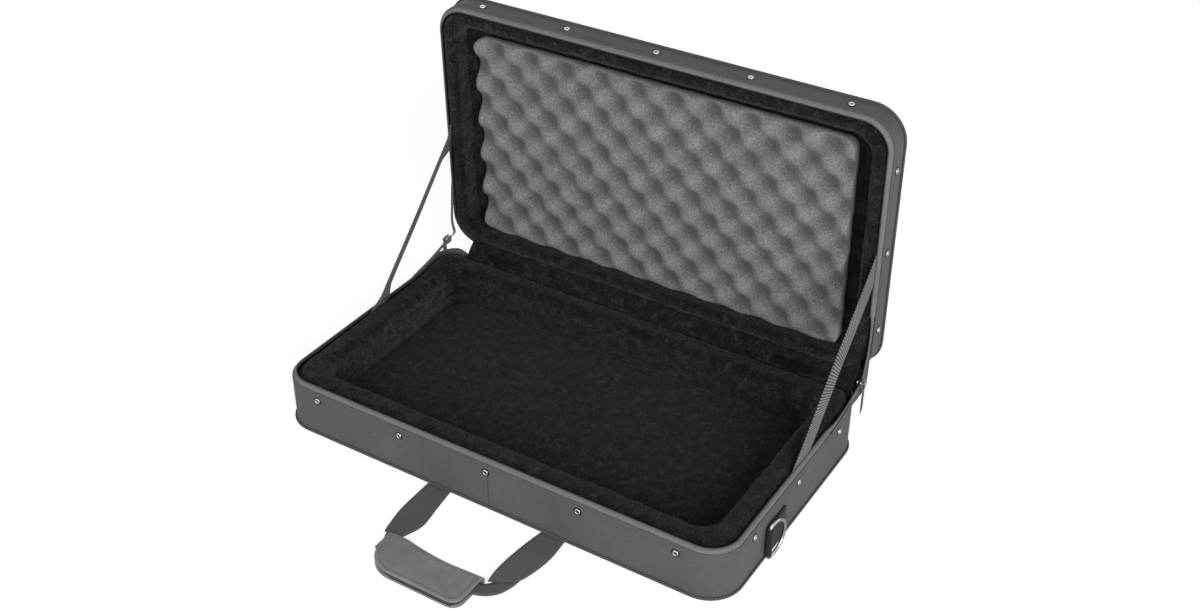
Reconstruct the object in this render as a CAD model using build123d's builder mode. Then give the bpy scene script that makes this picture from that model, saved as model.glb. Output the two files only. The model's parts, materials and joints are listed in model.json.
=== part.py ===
from build123d import *
import os
from math import cos, radians, sin, sqrt, tan

# A zip-closed soft case for a floor effects unit, standing open on its bottom.
# Origin: the middle of the base's bottom face. +X right, -Y front, +Z up. Millimetres.
# Base and lid are trays of the same plan. Each is modelled on its own seat plane, which lies in the
# tray's outer face and looks into the tray, so the same functions make both.

# The two trays
case_width = 736.0
case_depth = 419.0
base_height = 80.0  # outer face to the seam beside the zip
lid_height = 38.0
corner_radius = 48.0
edge_radius = 2.6  # between a tray's outer face and its walls
zip_half_width = 8.0  # from each seam to the zip's centre line
open_angle = 88.0
hinge_setback = 8.0  # the cloth hinge bends this far behind the rear wall

# Layers, from the outside inwards
cover_thickness = 1.6
fit_gap = 0.2
board_thickness = 3.0
frame_thickness = 2.0
frame_width = 26.0
frame_drop = 5.0  # below the seam
foam_drop = 8.0
floor_foam_thickness = 10.0
floor_lining_thickness = 10.0
back_lining_thickness = 6.0
lining_thickness = 11.0
base_wall_thickness = 45.0  # cover to plush face
lid_wall_thickness = 30.0
lining_rise = 6.0  # plush stands this far above the seam
lining_outer_inset = 8.4
inner_corner_radius = 34.0

# Piping, zip tape and zip coil
piping_stand = 2.6
piping_width = 5.0
piping_round = 1.2
tape_thickness = 1.4
tape_lap = 4.5
tape_stand = 5.0
coil_width = 3.0
coil_height = 2.2
zip_bow = 17.0  # the zip's end cuts the hinge corner at this distance
zip_end_thickness = 2.2  # both tapes lie together there

# Rivets
front_rivet_margin = 24.0  # last rivet to the start of the corner curve
side_rivet_margin = 31.5
front_rivet_pitch = (case_width / 2 - corner_radius - front_rivet_margin) / 2
side_rivet_pitch = case_depth / 2 - corner_radius - side_rivet_margin
rivet_drop = 15.0
rivet_shank_radius = 2.3
rivet_head_radius = 4.8
rivet_head_height = 1.4
rivet_dimple_radius = 1.7
rivet_dimple_depth = 0.7
rivet_burr_radius = 4.0
rivet_burr_height = 0.8
washer_radius = 6.0
washer_thickness = 0.6
hole_clearance = 0.2

# Convoluted foam in the lid
panel_side_gap = 28.0  # bare lining shows between the panel and the wall's plush
panel_front_gap = 19.0
panel_rear_gap = 2.0
panel_width = case_width - 2 * (lid_wall_thickness + panel_side_gap)
panel_depth = case_depth - 2 * lid_wall_thickness - panel_front_gap - panel_rear_gap
panel_shift = (panel_front_gap - panel_rear_gap) / 2  # towards the hinge
panel_corner_radius = 16.0
panel_sheet = 12.0
bump_height = 12.0
bump_pitch = 61.0
bump_radius = 18.0
bump_sink = 1.0  # each bump is let into the sheet
hollow_radius = 12.0
hollow_depth = 5.0

# Webbing
webbing_width = 38.0
webbing_thickness = 1.6
stay_inset = 7.2  # middle of a stay, from the side wall
stay_reach = 195.0  # hinge axis to the stay, along the zip's plane
stay_tuck = 6.0

# Cloth at the hinge
hinge_cloth_width = 616.0
hinge_lining_width = 606.0
hinge_lining_thickness = 3.4
hinge_lining_inset = 6.8
hinge_bend = 3.0
hinge_slot_length = 72.0
hinge_slot_spacing = 510.0
hinge_slot_width = 9.0

# Zip sliders and pulls
slider_bow = 24.0  # slider to hinge axis, with the lid open
slider_length = 14.0
slider_width = 12.0
slider_plate = 1.5
slider_slot = 3.6
slider_web = 1.0
slider_web_length = 8.0
slider_corner = 3.0
lug_width = 1.3
lug_height = 4.0
lug_stand = 4.2
pull_stand = 2.9  # slider's plate to the pull's pin
pull_pin_radius = 1.0
pull_eye_radius = 2.2
pull_link_width = 5.8
pull_link_length = 9.0
pull_link_thickness = 1.6
pull_tab_width = 9.0
pull_tab_length = 42.0
pull_tab_thickness = 2.8

# Rings for a shoulder strap
ring_y = -97.0
ring_level = 34.0
ring_stand = 7.0  # wall to the ring's bar
ring_wire_radius = 2.5
ring_opening = 50.0
ring_straight = 10.0
ring_rest_angle = 6.0
ring_bend = 3.5
ring_tab_length = 55.0
ring_tab_thickness = 3.4
ring_tab_fold = 1.7
ring_tab_clearance = 0.3

# Carrying handle
handle_center = 14.0
handle_spacing = 190.0
handle_clearance = 0.3
handle_tab_length = 3.8
handle_thickness = 2.2
handle_flat_run = 86.0  # before the loop rises into the grip
handle_ramp_run = 33.0
handle_reach = 149.0
handle_bar_width = 23.4
handle_bar_thickness = 4.4
handle_corner = 6.0
lid_handle_reach = 150.0
wrap_length = 158.0
wrap_offset = -12.0
wrap_depth = 64.0
wrap_layer = 5.0
wrap_gap = 5.0
wrap_corner = 14.0
wrap_round = 1.5
strip_length = 140.0
strip_width = 23.0
strip_thickness = 2.2
strip_margin = 3.0

# Levels worked out from the sizes above
split_level = base_height + zip_half_width
closed_height = base_height + 2 * zip_half_width + lid_height
hinge_y = case_depth / 2 + hinge_setback
board_top = cover_thickness + board_thickness
inner_face = cover_thickness + fit_gap  # inset of the frame and the zip tape
tape_middle = inner_face + tape_thickness / 2
rivet_grip = inner_face + frame_thickness
foam_inset = rivet_grip + rivet_burr_height + 2 * fit_gap
stay_slope = (180 - open_angle) / 2

lid_swing = (
    Location((0, hinge_y, split_level))
    * Location((0, 0, 0), (-open_angle, 0, 0))
    * Location((0, -hinge_y, -split_level))
)
base_seat = Plane.XY
closed_lid = Plane(origin=(0, 0, closed_height), x_dir=(1, 0, 0), z_dir=(0, 0, -1))
lid_seat = Plane(lid_swing * closed_lid.location)

os.makedirs("parts", exist_ok=True)


def write(piece, label):
    piece.part.label = label
    export_step(piece.part, f"parts/{label}.step")


def swung(y, z):
    """Where a point of the closed lid's side view stands once the lid is open."""
    turn = radians(open_angle)
    across = y - hinge_y
    above = z - split_level
    return (
        hinge_y + across * cos(turn) + above * sin(turn),
        split_level - across * sin(turn) + above * cos(turn),
    )


def outline(inset, radius=None, mode=Mode.ADD):
    """A tray's plan, moved inwards by inset. Used inside a sketch."""
    RectangleRounded(
        case_width - 2 * inset,
        case_depth - 2 * inset,
        corner_radius - inset if radius is None else radius,
        mode=mode,
    )


def rivet_planes(seat, height):
    """A plane on the cover at each rivet, facing outwards."""
    level = height - rivet_drop
    planes = []
    for side in (-1, 1):
        for step in (-2, -1, 0, 1, 2):
            spot = (step * front_rivet_pitch, side * case_depth / 2, level)
            planes.append(Plane(origin=spot, x_dir=(1, 0, 0), z_dir=(0, side, 0)))
        for step in (-1, 0, 1):
            spot = (side * case_width / 2, step * side_rivet_pitch, level)
            planes.append(Plane(origin=spot, x_dir=(0, 1, 0), z_dir=(side, 0, 0)))
    return [Plane(seat.location * plane.location) for plane in planes]


# Shells and layers of a tray


def make_cover(seat, height):
    with BuildPart() as cover:
        with BuildSketch(seat):
            outline(0)
        extrude(amount=height)
        fillet(cover.edges().group_by(Axis(seat.origin, seat.z_dir))[0], edge_radius)
        with BuildSketch(seat.offset(cover_thickness)):
            outline(cover_thickness)
        extrude(amount=height - cover_thickness, mode=Mode.SUBTRACT)
        with Locations(*rivet_planes(seat, height)):
            Cylinder(rivet_shank_radius + hole_clearance, 3 * cover_thickness, mode=Mode.SUBTRACT)
    return cover


def make_board(seat):
    with BuildPart() as board:
        with BuildSketch(seat.offset(cover_thickness)):
            outline(inner_face)
        extrude(amount=board_thickness)
    return board


def make_rim_frame(seat, height):
    with BuildPart() as frame:
        with BuildSketch(seat.offset(height - frame_drop - frame_width)):
            outline(inner_face)
            outline(inner_face + frame_thickness, mode=Mode.SUBTRACT)
        extrude(amount=frame_width)
        with Locations(*rivet_planes(seat, height)):
            Cylinder(rivet_shank_radius + hole_clearance, 3 * rivet_grip, mode=Mode.SUBTRACT)
    return frame


def make_wall_foam(seat, height, wall):
    with BuildPart() as foam:
        with BuildSketch(seat.offset(board_top)):
            outline(foam_inset)
            outline(wall - lining_thickness, inner_corner_radius + lining_thickness, Mode.SUBTRACT)
        extrude(amount=height - foam_drop - board_top)
    return foam


def make_wall_lining(seat, height, wall, floor_level):
    rim_foot = height - foam_drop
    rim_round = 0.36 * (wall - lining_outer_inset)
    with BuildPart() as lining:
        with BuildSketch(seat.offset(rim_foot)):
            outline(lining_outer_inset)
            outline(wall, inner_corner_radius, Mode.SUBTRACT)
        extrude(amount=foam_drop + lining_rise)
        fillet(lining.edges().group_by(Axis(seat.origin, seat.z_dir))[-1], rim_round)
        with BuildSketch(seat.offset(floor_level)):
            outline(wall - lining_thickness, inner_corner_radius + lining_thickness)
            outline(wall, inner_corner_radius, Mode.SUBTRACT)
        extrude(amount=rim_foot - floor_level)
    return lining


def make_sheet(seat, low, thickness, inset, radius):
    with BuildPart() as layer:
        with BuildSketch(seat.offset(low)):
            outline(inset, radius)
        extrude(amount=thickness)
    return layer


def make_piping(seat):
    with BuildPart() as piping:
        with BuildSketch(seat.offset(edge_radius)):
            outline(-fit_gap - piping_stand)
        extrude(amount=piping_width)
        rims = piping.edges().group_by(Axis(seat.origin, seat.z_dir))
        fillet(rims[0] + rims[-1], piping_round)
        with BuildSketch(seat.offset(edge_radius)):
            outline(-fit_gap)
        extrude(amount=piping_width, mode=Mode.SUBTRACT)
    return piping


def zip_run(seat, front, low, high, outer, inner):
    """A strip along the left, front and right walls, ending where the rear corners begin."""
    with BuildPart() as strip:
        with BuildSketch(seat.offset(low)):
            outline(outer)
            outline(inner, mode=Mode.SUBTRACT)
            with Locations((0, -front * (case_depth / 2 - corner_radius / 2))):
                Rectangle(case_width, corner_radius, mode=Mode.SUBTRACT)
        extrude(amount=high - low)
    return strip


# Rivets, each a tube with a dimpled head outside and a rolled end behind the frame

with BuildPart() as rivet:
    with BuildSketch(Plane.XZ):
        with BuildLine():
            head_top = washer_thickness + rivet_head_height
            Polyline(
                (0, -rivet_grip - rivet_burr_height),
                (rivet_burr_radius, -rivet_grip - rivet_burr_height),
                (rivet_burr_radius, -rivet_grip),
                (rivet_shank_radius, -rivet_grip),
                (rivet_shank_radius, washer_thickness),
                (rivet_head_radius, washer_thickness),
                (rivet_head_radius, washer_thickness + rivet_head_height / 2),
            )
            Line(
                (rivet_head_radius, washer_thickness + rivet_head_height / 2),
                (rivet_head_radius - rivet_head_height, head_top),
            )
            Polyline(
                (rivet_head_radius - rivet_head_height, head_top),
                (rivet_dimple_radius, head_top),
                (rivet_dimple_radius, head_top - rivet_dimple_depth),
                (0, head_top - rivet_dimple_depth),
                (0, -rivet_grip - rivet_burr_height),
            )
        make_face()
    revolve(axis=Axis.Z)

with BuildPart() as washer:
    with BuildSketch():
        Circle(washer_radius)
        Circle(rivet_shank_radius + hole_clearance, mode=Mode.SUBTRACT)
    extrude(amount=washer_thickness)


def make_rivets(seat, height, single):
    with BuildPart() as group:
        with Locations(*rivet_planes(seat, height)):
            add(single.part)
    return group


# The two trays, layer by layer

trays = {
    "base": (base_seat, base_height, base_wall_thickness, -1),
    "lid": (lid_seat, lid_height, lid_wall_thickness, 1),
}
for tray, (seat, height, wall, front) in trays.items():
    floor_layer = floor_foam_thickness if tray == "base" else back_lining_thickness
    write(make_cover(seat, height), f"{tray}_cover")
    write(make_board(seat), f"{tray}_board")
    write(make_rim_frame(seat, height), f"{tray}_rim_frame")
    write(make_wall_foam(seat, height, wall), f"{tray}_wall_foam")
    write(make_wall_lining(seat, height, wall, board_top + floor_layer), f"{tray}_wall_lining")
    write(make_piping(seat), f"{tray}_piping")
    tape_inner = inner_face + tape_thickness
    tape = zip_run(seat, front, height - tape_lap, height + tape_stand, inner_face, tape_inner)
    write(tape, f"{tray}_zip_tape")
    coil_foot = height + tape_stand
    coil_outer = tape_middle - coil_width / 2
    coil = zip_run(seat, front, coil_foot, coil_foot + coil_height, coil_outer, coil_outer + coil_width)
    write(coil, f"{tray}_zip_coil")
    write(make_rivets(seat, height, rivet), f"{tray}_rivets")
    write(make_rivets(seat, height, washer), f"{tray}_washers")

foam_face = base_wall_thickness - lining_thickness + fit_gap
foam_corner = inner_corner_radius + lining_thickness
floor_foam = make_sheet(base_seat, board_top, floor_foam_thickness, foam_face, foam_corner)
write(floor_foam, "base_floor_foam")
floor_lining = make_sheet(
    base_seat,
    board_top + floor_foam_thickness,
    floor_lining_thickness,
    base_wall_thickness + fit_gap,
    inner_corner_radius,
)
write(floor_lining, "base_floor_lining")
back_face = lid_wall_thickness - lining_thickness + fit_gap
back_lining = make_sheet(lid_seat, board_top, back_lining_thickness, back_face, foam_corner)
write(back_lining, "lid_back_lining")

# Convoluted foam: a sheet with staggered rows of round bumps, and hollows between them

panel_foot = board_top + back_lining_thickness
bump_sphere = (bump_radius**2 + bump_height**2) / (2 * bump_height)
hollow_sphere = (hollow_radius**2 + hollow_depth**2) / (2 * hollow_depth)
columns = int((panel_width - 2 * bump_radius) // bump_pitch) + 1
rows = int((panel_depth - 2 * bump_radius) // bump_pitch) + 1
with BuildPart() as bump:
    with Locations((0, 0, bump_height - bump_sphere)):
        Sphere(bump_sphere)
    with Locations((0, 0, -bump_sphere - bump_sink)):
        Box(4 * bump_sphere, 4 * bump_sphere, 2 * bump_sphere, mode=Mode.SUBTRACT)
with BuildPart() as egg_crate:
    with BuildSketch(lid_seat.offset(panel_foot)):
        with Locations((0, -panel_shift)):
            RectangleRounded(panel_width, panel_depth, panel_corner_radius)
    extrude(amount=panel_sheet)
    bump_level = panel_foot + panel_sheet
    with Locations(lid_seat.location * Location((0, -panel_shift, bump_level))):
        with GridLocations(bump_pitch, bump_pitch, columns, rows):
            add(bump.part)
        with GridLocations(bump_pitch, bump_pitch, columns - 1, rows - 1):
            add(bump.part)
    hollow_level = bump_level + hollow_sphere - hollow_depth
    with Locations(lid_seat.location * Location((0, -panel_shift, hollow_level))):
        with GridLocations(bump_pitch, bump_pitch, columns - 1, rows):
            Sphere(hollow_sphere, mode=Mode.SUBTRACT)
        with GridLocations(bump_pitch, bump_pitch, columns, rows - 1):
            Sphere(hollow_sphere, mode=Mode.SUBTRACT)
write(egg_crate, "lid_egg_crate_foam")

# Cloth hinge, with a plush strip inside it


def hinge_bends(inset):
    """Where a strip leaves the base's rear wall and where it meets the lid's."""
    strip_y = case_depth / 2 - inset
    lid_seam = base_height + 2 * zip_half_width
    return (strip_y, base_height + cover_thickness), swung(strip_y, lid_seam - cover_thickness)


def hinge_strip(inset, lap, width, thickness):
    """A cloth strip from the base's rear seam to the lid's, bent over the hinge corner."""
    strip_y = case_depth / 2 - inset
    with BuildPart() as strip:
        with BuildSketch(Plane.YZ.offset(-width / 2)):
            with BuildLine():
                FilletPolyline(
                    (strip_y, base_height - lap),
                    *hinge_bends(inset),
                    swung(strip_y, base_height + 2 * zip_half_width + lap),
                    radius=hinge_bend,
                )
            trace(line_width=thickness)
        extrude(amount=width)
    return strip


write(hinge_strip(tape_middle, tape_lap, hinge_cloth_width, tape_thickness), "hinge_cloth")

lining_strip = hinge_strip(hinge_lining_inset, 0, hinge_lining_width, hinge_lining_thickness)
with BuildPart() as hinge_lining:
    add(lining_strip.part)
    low_bend, high_bend = hinge_bends(hinge_lining_inset)
    slot_y = (low_bend[0] + high_bend[0]) / 2
    slot_z = (low_bend[1] + high_bend[1]) / 2
    for side in (-1, 1):
        with Locations(Location((side * hinge_slot_spacing / 2, slot_y, slot_z), (45, 0, 0))):
            Box(hinge_slot_length, hinge_slot_width, 3 * hinge_slot_width, mode=Mode.SUBTRACT)
write(hinge_lining, "hinge_lining")

# Pieces that come in a left and a right

half_turn = radians(open_angle / 2)
zip_corner = (hinge_y - zip_bow * cos(half_turn), split_level + zip_bow * sin(half_turn))
slider_y = hinge_y - slider_bow * cos(half_turn)
slider_z = split_level + slider_bow * sin(half_turn)
zip_end_y = case_depth / 2 - corner_radius + fit_gap
tape_x = case_width / 2 - tape_middle
outer_plate_x = tape_x + (slider_slot + slider_plate) / 2
inner_plate_x = tape_x - (slider_slot + slider_plate) / 2
slider_face = outer_plate_x + slider_plate / 2
pull_x = slider_face + pull_stand

stay_foot = base_height - stay_tuck
stay_half_foot = webbing_width / 2 / sin(radians(stay_slope))
stay_middle = hinge_y - stay_reach - (split_level - stay_foot) / tan(radians(stay_slope))
stay_near = (stay_middle + stay_half_foot, stay_foot)
stay_far = (stay_middle - stay_half_foot, stay_foot)

ring_x = case_width / 2 + ring_stand
ring_half = ring_opening / 2 + ring_wire_radius
fold_bore = ring_wire_radius + ring_tab_clearance
fold_radius = fold_bore + ring_tab_fold
tab_height = 2 * (ring_half - ring_bend - ring_tab_clearance)

for side, hand in ((-1, "left"), (1, "right")):
    # The zip's last stretch, where the base's tape turns up into the lid's
    with BuildPart() as zip_end:
        with BuildSketch(Plane.YZ.offset(side * tape_x - zip_end_thickness / 2)):
            with BuildLine():
                base_top = (zip_end_y, base_height + tape_stand + coil_height)
                base_low = (zip_end_y, base_height + handle_clearance)
                lid_seam = base_height + 2 * zip_half_width
                lid_low = swung(zip_end_y, lid_seam - handle_clearance)
                lid_top = swung(zip_end_y, lid_seam - tape_stand - coil_height)
                ThreePointArc(base_top, zip_corner, lid_top)
                Polyline(
                    lid_top,
                    lid_low,
                    swung(case_depth / 2, lid_seam - handle_clearance),
                    (case_depth / 2, base_height + handle_clearance),
                    base_low,
                    base_top,
                )
            make_face()
        extrude(amount=zip_end_thickness)
    write(zip_end, f"zip_end_{hand}")

    # Webbing that stops the lid, tucked between zip tape and plush at both rims
    with BuildPart() as stay:
        with BuildSketch(Plane.YZ.offset(side * (case_width / 2 - stay_inset) - webbing_thickness / 2)):
            with BuildLine():
                Polyline(
                    stay_far,
                    stay_near,
                    swung(stay_near[0], 2 * split_level - stay_near[1]),
                    swung(stay_far[0], 2 * split_level - stay_far[1]),
                    close=True,
                )
            make_face()
        extrude(amount=webbing_thickness)
    write(stay, f"stay_{hand}")

    # Zip slider: two plates that flank the coil, a web between the coils, and a bar for the pull
    with BuildPart() as slider:
        for plate_x in (inner_plate_x, outer_plate_x):
            with Locations((side * plate_x, slider_y, slider_z)):
                Box(slider_plate, slider_length, slider_width)
        fillet(slider.edges().filter_by(Axis.X), slider_corner)
        with Locations((side * tape_x, slider_y, slider_z)):
            Box(slider_slot + slider_plate, slider_web_length, slider_web)
        lug_y = pull_link_width / 2 + handle_clearance + lug_width / 2
        for end in (-1, 1):
            with Locations((side * (slider_face + lug_stand / 2), slider_y + end * lug_y, slider_z)):
                Box(lug_stand, lug_width, lug_height)
        with Locations(Location((side * pull_x, slider_y, slider_z), (90, 0, 0))):
            Cylinder(pull_pin_radius, 2 * lug_y)
    write(slider, f"slider_{hand}")

    with BuildPart() as pull_link:
        with Locations(Location((side * pull_x, slider_y, slider_z), (90, 0, 0))):
            Cylinder(pull_eye_radius, pull_link_width)
        with Locations((side * pull_x, slider_y, slider_z - pull_link_length / 2)):
            Box(pull_link_thickness, pull_link_width, pull_link_length)
        with Locations(Location((side * pull_x, slider_y, slider_z), (90, 0, 0))):
            Cylinder(pull_pin_radius + handle_clearance, pull_link_width, mode=Mode.SUBTRACT)
    write(pull_link, f"pull_link_{hand}")

    with BuildPart() as pull_tab:
        tab_middle = slider_z - pull_link_length - pull_tab_length / 2
        with Locations((side * pull_x, slider_y, tab_middle)):
            Box(pull_tab_thickness, pull_tab_width, pull_tab_length)
        fillet(pull_tab.edges().filter_by(Axis.X), pull_tab_width / 4)
    write(pull_tab, f"pull_tab_{hand}")

    # D-shaped ring, folded back over the webbing tab that holds its bar
    lean = radians(ring_rest_angle)
    ring_plane = Plane(
        origin=(side * ring_x, ring_y, ring_level),
        x_dir=(side * sin(lean), cos(lean), 0),
        z_dir=(cos(lean), -side * sin(lean), 0),
    )
    with BuildPart() as ring:
        with BuildLine(ring_plane):
            FilletPolyline(
                (ring_straight, -ring_half),
                (0, -ring_half),
                (0, ring_half),
                (ring_straight, ring_half),
                radius=ring_bend,
            )
            CenterArc((ring_straight, 0), ring_half, -90, 180)
        with BuildSketch(Plane(origin=ring_plane.origin, z_dir=(0, 0, 1))):
            Circle(ring_wire_radius)
        sweep()
    write(ring, f"d_ring_{hand}")

    with BuildPart() as ring_tab:
        with Locations((side * ring_x, ring_y, ring_level)):
            Cylinder(fold_radius, tab_height)
        plate_x = side * (case_width / 2 + handle_clearance + ring_tab_thickness / 2)
        with Locations((plate_x, ring_y + ring_tab_length / 2, ring_level)):
            Box(ring_tab_thickness, ring_tab_length, tab_height)
        with Locations((side * ring_x, ring_y, ring_level)):
            Cylinder(fold_bore, tab_height, mode=Mode.SUBTRACT)
    write(ring_tab, f"d_ring_tab_{hand}")

# Carrying loops, one sewn into each tray's front edge


def make_handle_tabs(seat, front):
    with BuildPart() as tabs:
        with Locations(seat):
            for end in (-1, 1):
                across = handle_center + end * handle_spacing / 2
                middle = front * (case_depth / 2 + handle_clearance + handle_tab_length / 2)
                with Locations((across, middle, edge_radius / 2)):
                    Box(webbing_width, handle_tab_length, edge_radius - 2 * handle_clearance)
    return tabs


write(make_handle_tabs(base_seat, -1), "base_handle_tabs")
write(make_handle_tabs(lid_seat, 1), "lid_handle_tabs")

handle_start = case_depth / 2 + 2 * handle_clearance + handle_tab_length
handle_left = handle_center - handle_spacing / 2
handle_right = handle_center + handle_spacing / 2
wrap_center = handle_center + wrap_offset
wrap_low = handle_clearance
gap_low = wrap_low + wrap_layer
gap_high = gap_low + wrap_gap
bar_low = gap_low + (wrap_gap - handle_bar_thickness) / 2
fold_y = -(handle_start + handle_flat_run + handle_ramp_run + handle_corner)
bar_far = handle_start + handle_reach
bar_near = bar_far - handle_bar_width
wrap_side = wrap_length / 2 + 4 * handle_clearance

with BuildPart() as handle_webbing:
    half = webbing_width / 2
    with BuildSketch():
        with BuildLine():
            Polyline(
                (handle_left - half, -handle_start),
                (handle_left - half, -bar_far),
                (wrap_center + wrap_side + handle_bar_width, -bar_far),
                (handle_right + half, -handle_start - handle_flat_run),
                (handle_right + half, -handle_start),
                (handle_right - half, -handle_start),
                (wrap_center + wrap_side, -handle_start - handle_flat_run - handle_ramp_run),
                (wrap_center + wrap_side, -bar_near),
                (wrap_center - wrap_side, -bar_near),
                (wrap_center - wrap_side, -handle_start - handle_flat_run - handle_ramp_run),
                (handle_left + half, -handle_start - handle_flat_run),
                (handle_left + half, -handle_start),
                close=True,
            )
        make_face()
    extrude(amount=gap_high)
    fillet(handle_webbing.edges().filter_by(Axis.Z).group_by(Axis.Y)[0], handle_corner)
    with BuildSketch(Plane.YZ.offset(handle_left - webbing_width)) as loop_side:
        with BuildLine():
            Polyline(
                (-handle_start, handle_clearance),
                (-handle_start - handle_flat_run, handle_clearance),
                (-handle_start - handle_flat_run - handle_ramp_run, bar_low),
                (-bar_far, bar_low),
                (-bar_far, bar_low + handle_bar_thickness),
                (-handle_start - handle_flat_run - handle_ramp_run, bar_low + handle_bar_thickness),
                (-handle_start - handle_flat_run, handle_clearance + handle_thickness),
                (-handle_start, handle_clearance + handle_thickness),
                close=True,
            )
        make_face()
    extrude(amount=handle_spacing + 2 * webbing_width, mode=Mode.INTERSECT)
write(handle_webbing, "handle_webbing")

# Wrap-round grip: two padded layers, the fold that joins them, and hook and loop strips between


def wrap_plate(low, near):
    far = fold_y - wrap_depth + wrap_layer + wrap_gap / 2
    with BuildPart() as plate:
        with BuildSketch(Plane.XY.offset(low)):
            with Locations((wrap_center, (near + far) / 2)):
                Rectangle(wrap_length, near - far)
            fillet(vertices().group_by(Axis.Y)[0], wrap_corner)
        extrude(amount=wrap_layer)
        rims = plate.edges().group_by(Axis.Z)
        fillet(rims[0].filter_by(lambda e: e.center().Y < near - 0.01), wrap_round)
        top = plate.edges().group_by(Axis.Z)[-1]
        fillet(top.filter_by(lambda e: e.center().Y < near - 0.01), wrap_round)
    return plate


def wrap_strip(low):
    far = fold_y - wrap_depth + wrap_layer + wrap_gap / 2 + strip_margin
    with BuildPart() as strip:
        with Locations((wrap_center, far + strip_width / 2, low + strip_thickness / 2)):
            Box(strip_length, strip_width, strip_thickness)
    return strip


write(wrap_plate(wrap_low, fold_y), "wrap_lower")
write(wrap_plate(gap_high, fold_y - handle_clearance), "wrap_flap")
write(wrap_strip(gap_low), "wrap_hook_strip")
write(wrap_strip(gap_high - strip_thickness), "wrap_loop_strip")

with BuildPart() as wrap_fold:
    with BuildSketch(Plane.YZ.offset(wrap_center - wrap_length / 2)):
        with Locations((fold_y, (gap_low + gap_high) / 2)):
            Circle(wrap_gap / 2 + wrap_layer)
            Circle(wrap_gap / 2, mode=Mode.SUBTRACT)
        with Locations((fold_y - wrap_depth / 2, (gap_low + gap_high) / 2)):
            Rectangle(wrap_depth, wrap_depth, mode=Mode.SUBTRACT)
    extrude(amount=wrap_length)
write(wrap_fold, "wrap_fold")

# The lid's loop hangs down its outer face

lid_loop_start = case_depth / 2 + handle_clearance + handle_tab_length - 2 * fit_gap
with BuildPart() as lid_loop:
    with BuildSketch(lid_seat.offset(-2 * fit_gap - handle_thickness)):
        with Locations((handle_center, lid_loop_start - lid_handle_reach / 2)):
            Rectangle(handle_spacing + webbing_width, lid_handle_reach)
        with Locations((handle_center, lid_loop_start - (lid_handle_reach - webbing_width) / 2)):
            Rectangle(
                handle_spacing - webbing_width, lid_handle_reach - webbing_width, mode=Mode.SUBTRACT
            )
    extrude(amount=handle_thickness)
write(lid_loop, "lid_handle_webbing")
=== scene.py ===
import json
import math
import random

import bmesh
import bpy
from mathutils import Matrix, Vector, noise
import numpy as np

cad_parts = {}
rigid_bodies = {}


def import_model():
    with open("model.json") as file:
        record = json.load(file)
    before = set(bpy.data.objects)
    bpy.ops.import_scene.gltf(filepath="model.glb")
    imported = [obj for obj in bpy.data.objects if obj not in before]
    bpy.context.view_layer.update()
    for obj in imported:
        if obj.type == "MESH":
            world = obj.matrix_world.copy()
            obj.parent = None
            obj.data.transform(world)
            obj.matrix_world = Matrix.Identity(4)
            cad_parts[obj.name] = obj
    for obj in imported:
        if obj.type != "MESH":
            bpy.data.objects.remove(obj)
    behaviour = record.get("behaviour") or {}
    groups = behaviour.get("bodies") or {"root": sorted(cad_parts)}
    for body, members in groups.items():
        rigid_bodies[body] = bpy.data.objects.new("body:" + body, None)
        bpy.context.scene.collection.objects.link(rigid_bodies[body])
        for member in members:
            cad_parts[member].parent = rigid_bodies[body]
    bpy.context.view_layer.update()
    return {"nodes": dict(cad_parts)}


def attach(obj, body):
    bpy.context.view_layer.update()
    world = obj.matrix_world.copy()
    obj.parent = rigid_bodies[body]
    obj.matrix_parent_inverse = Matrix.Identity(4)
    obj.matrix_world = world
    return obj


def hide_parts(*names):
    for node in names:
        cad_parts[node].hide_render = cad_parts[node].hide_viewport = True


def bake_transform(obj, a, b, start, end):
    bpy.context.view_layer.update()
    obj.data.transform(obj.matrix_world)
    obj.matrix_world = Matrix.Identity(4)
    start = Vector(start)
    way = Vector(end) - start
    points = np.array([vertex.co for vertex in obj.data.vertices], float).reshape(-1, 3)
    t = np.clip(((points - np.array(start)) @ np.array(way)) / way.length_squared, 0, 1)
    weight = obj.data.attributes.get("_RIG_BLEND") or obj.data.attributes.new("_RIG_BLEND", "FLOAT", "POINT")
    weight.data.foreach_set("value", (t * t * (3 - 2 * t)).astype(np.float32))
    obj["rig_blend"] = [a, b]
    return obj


for leftOver in list(bpy.data.objects):
    bpy.data.objects.remove(leftOver)

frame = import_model()
print("frame loaded:", len(frame["nodes"]), "nodes")

# all lengths below are millimetres; a finished piece is scaled to metres
case = {
    "halfLength": 368.0, "halfWidth": 209.5, "corner": 48.0,
    "baseHeight": 80.0, "lidHeight": 38.0, "closedHeight": 134.0,
    "hingeY": 217.5, "hingeZ": 88.0, "openAngle": 88.0,
}
coreX = case["halfLength"] - case["corner"]      # centres of the corner curves
coreY = case["halfWidth"] - case["corner"]
bendRadius = 44.0                                # cloth is measured round the corners at this radius
hands = (("Left", -1), ("Right", 1))


def lidPlacement():
    pivot = Vector((0, case["hingeY"], case["hingeZ"]))
    flip = Matrix.Translation((0, 0, case["closedHeight"])) @ Matrix.Scale(-1, 4, (0, 0, 1))
    swing = Matrix.Rotation(math.radians(-case["openAngle"]), 4, "X")
    return Matrix.Translation(pivot) @ swing @ Matrix.Translation(-pivot) @ flip


# ---- materials

def tone(code):
    parts = [int(code[i:i + 2], 16) / 255 for i in (0, 2, 4)]
    linear = [c / 12.92 if c <= 0.04045 else ((c + 0.055) / 1.055) ** 2.4 for c in parts]
    return (*linear, 1.0)


def startMaterial(name):
    material = bpy.data.materials.new(name)
    material.use_nodes = True
    return material, material.node_tree


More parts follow.
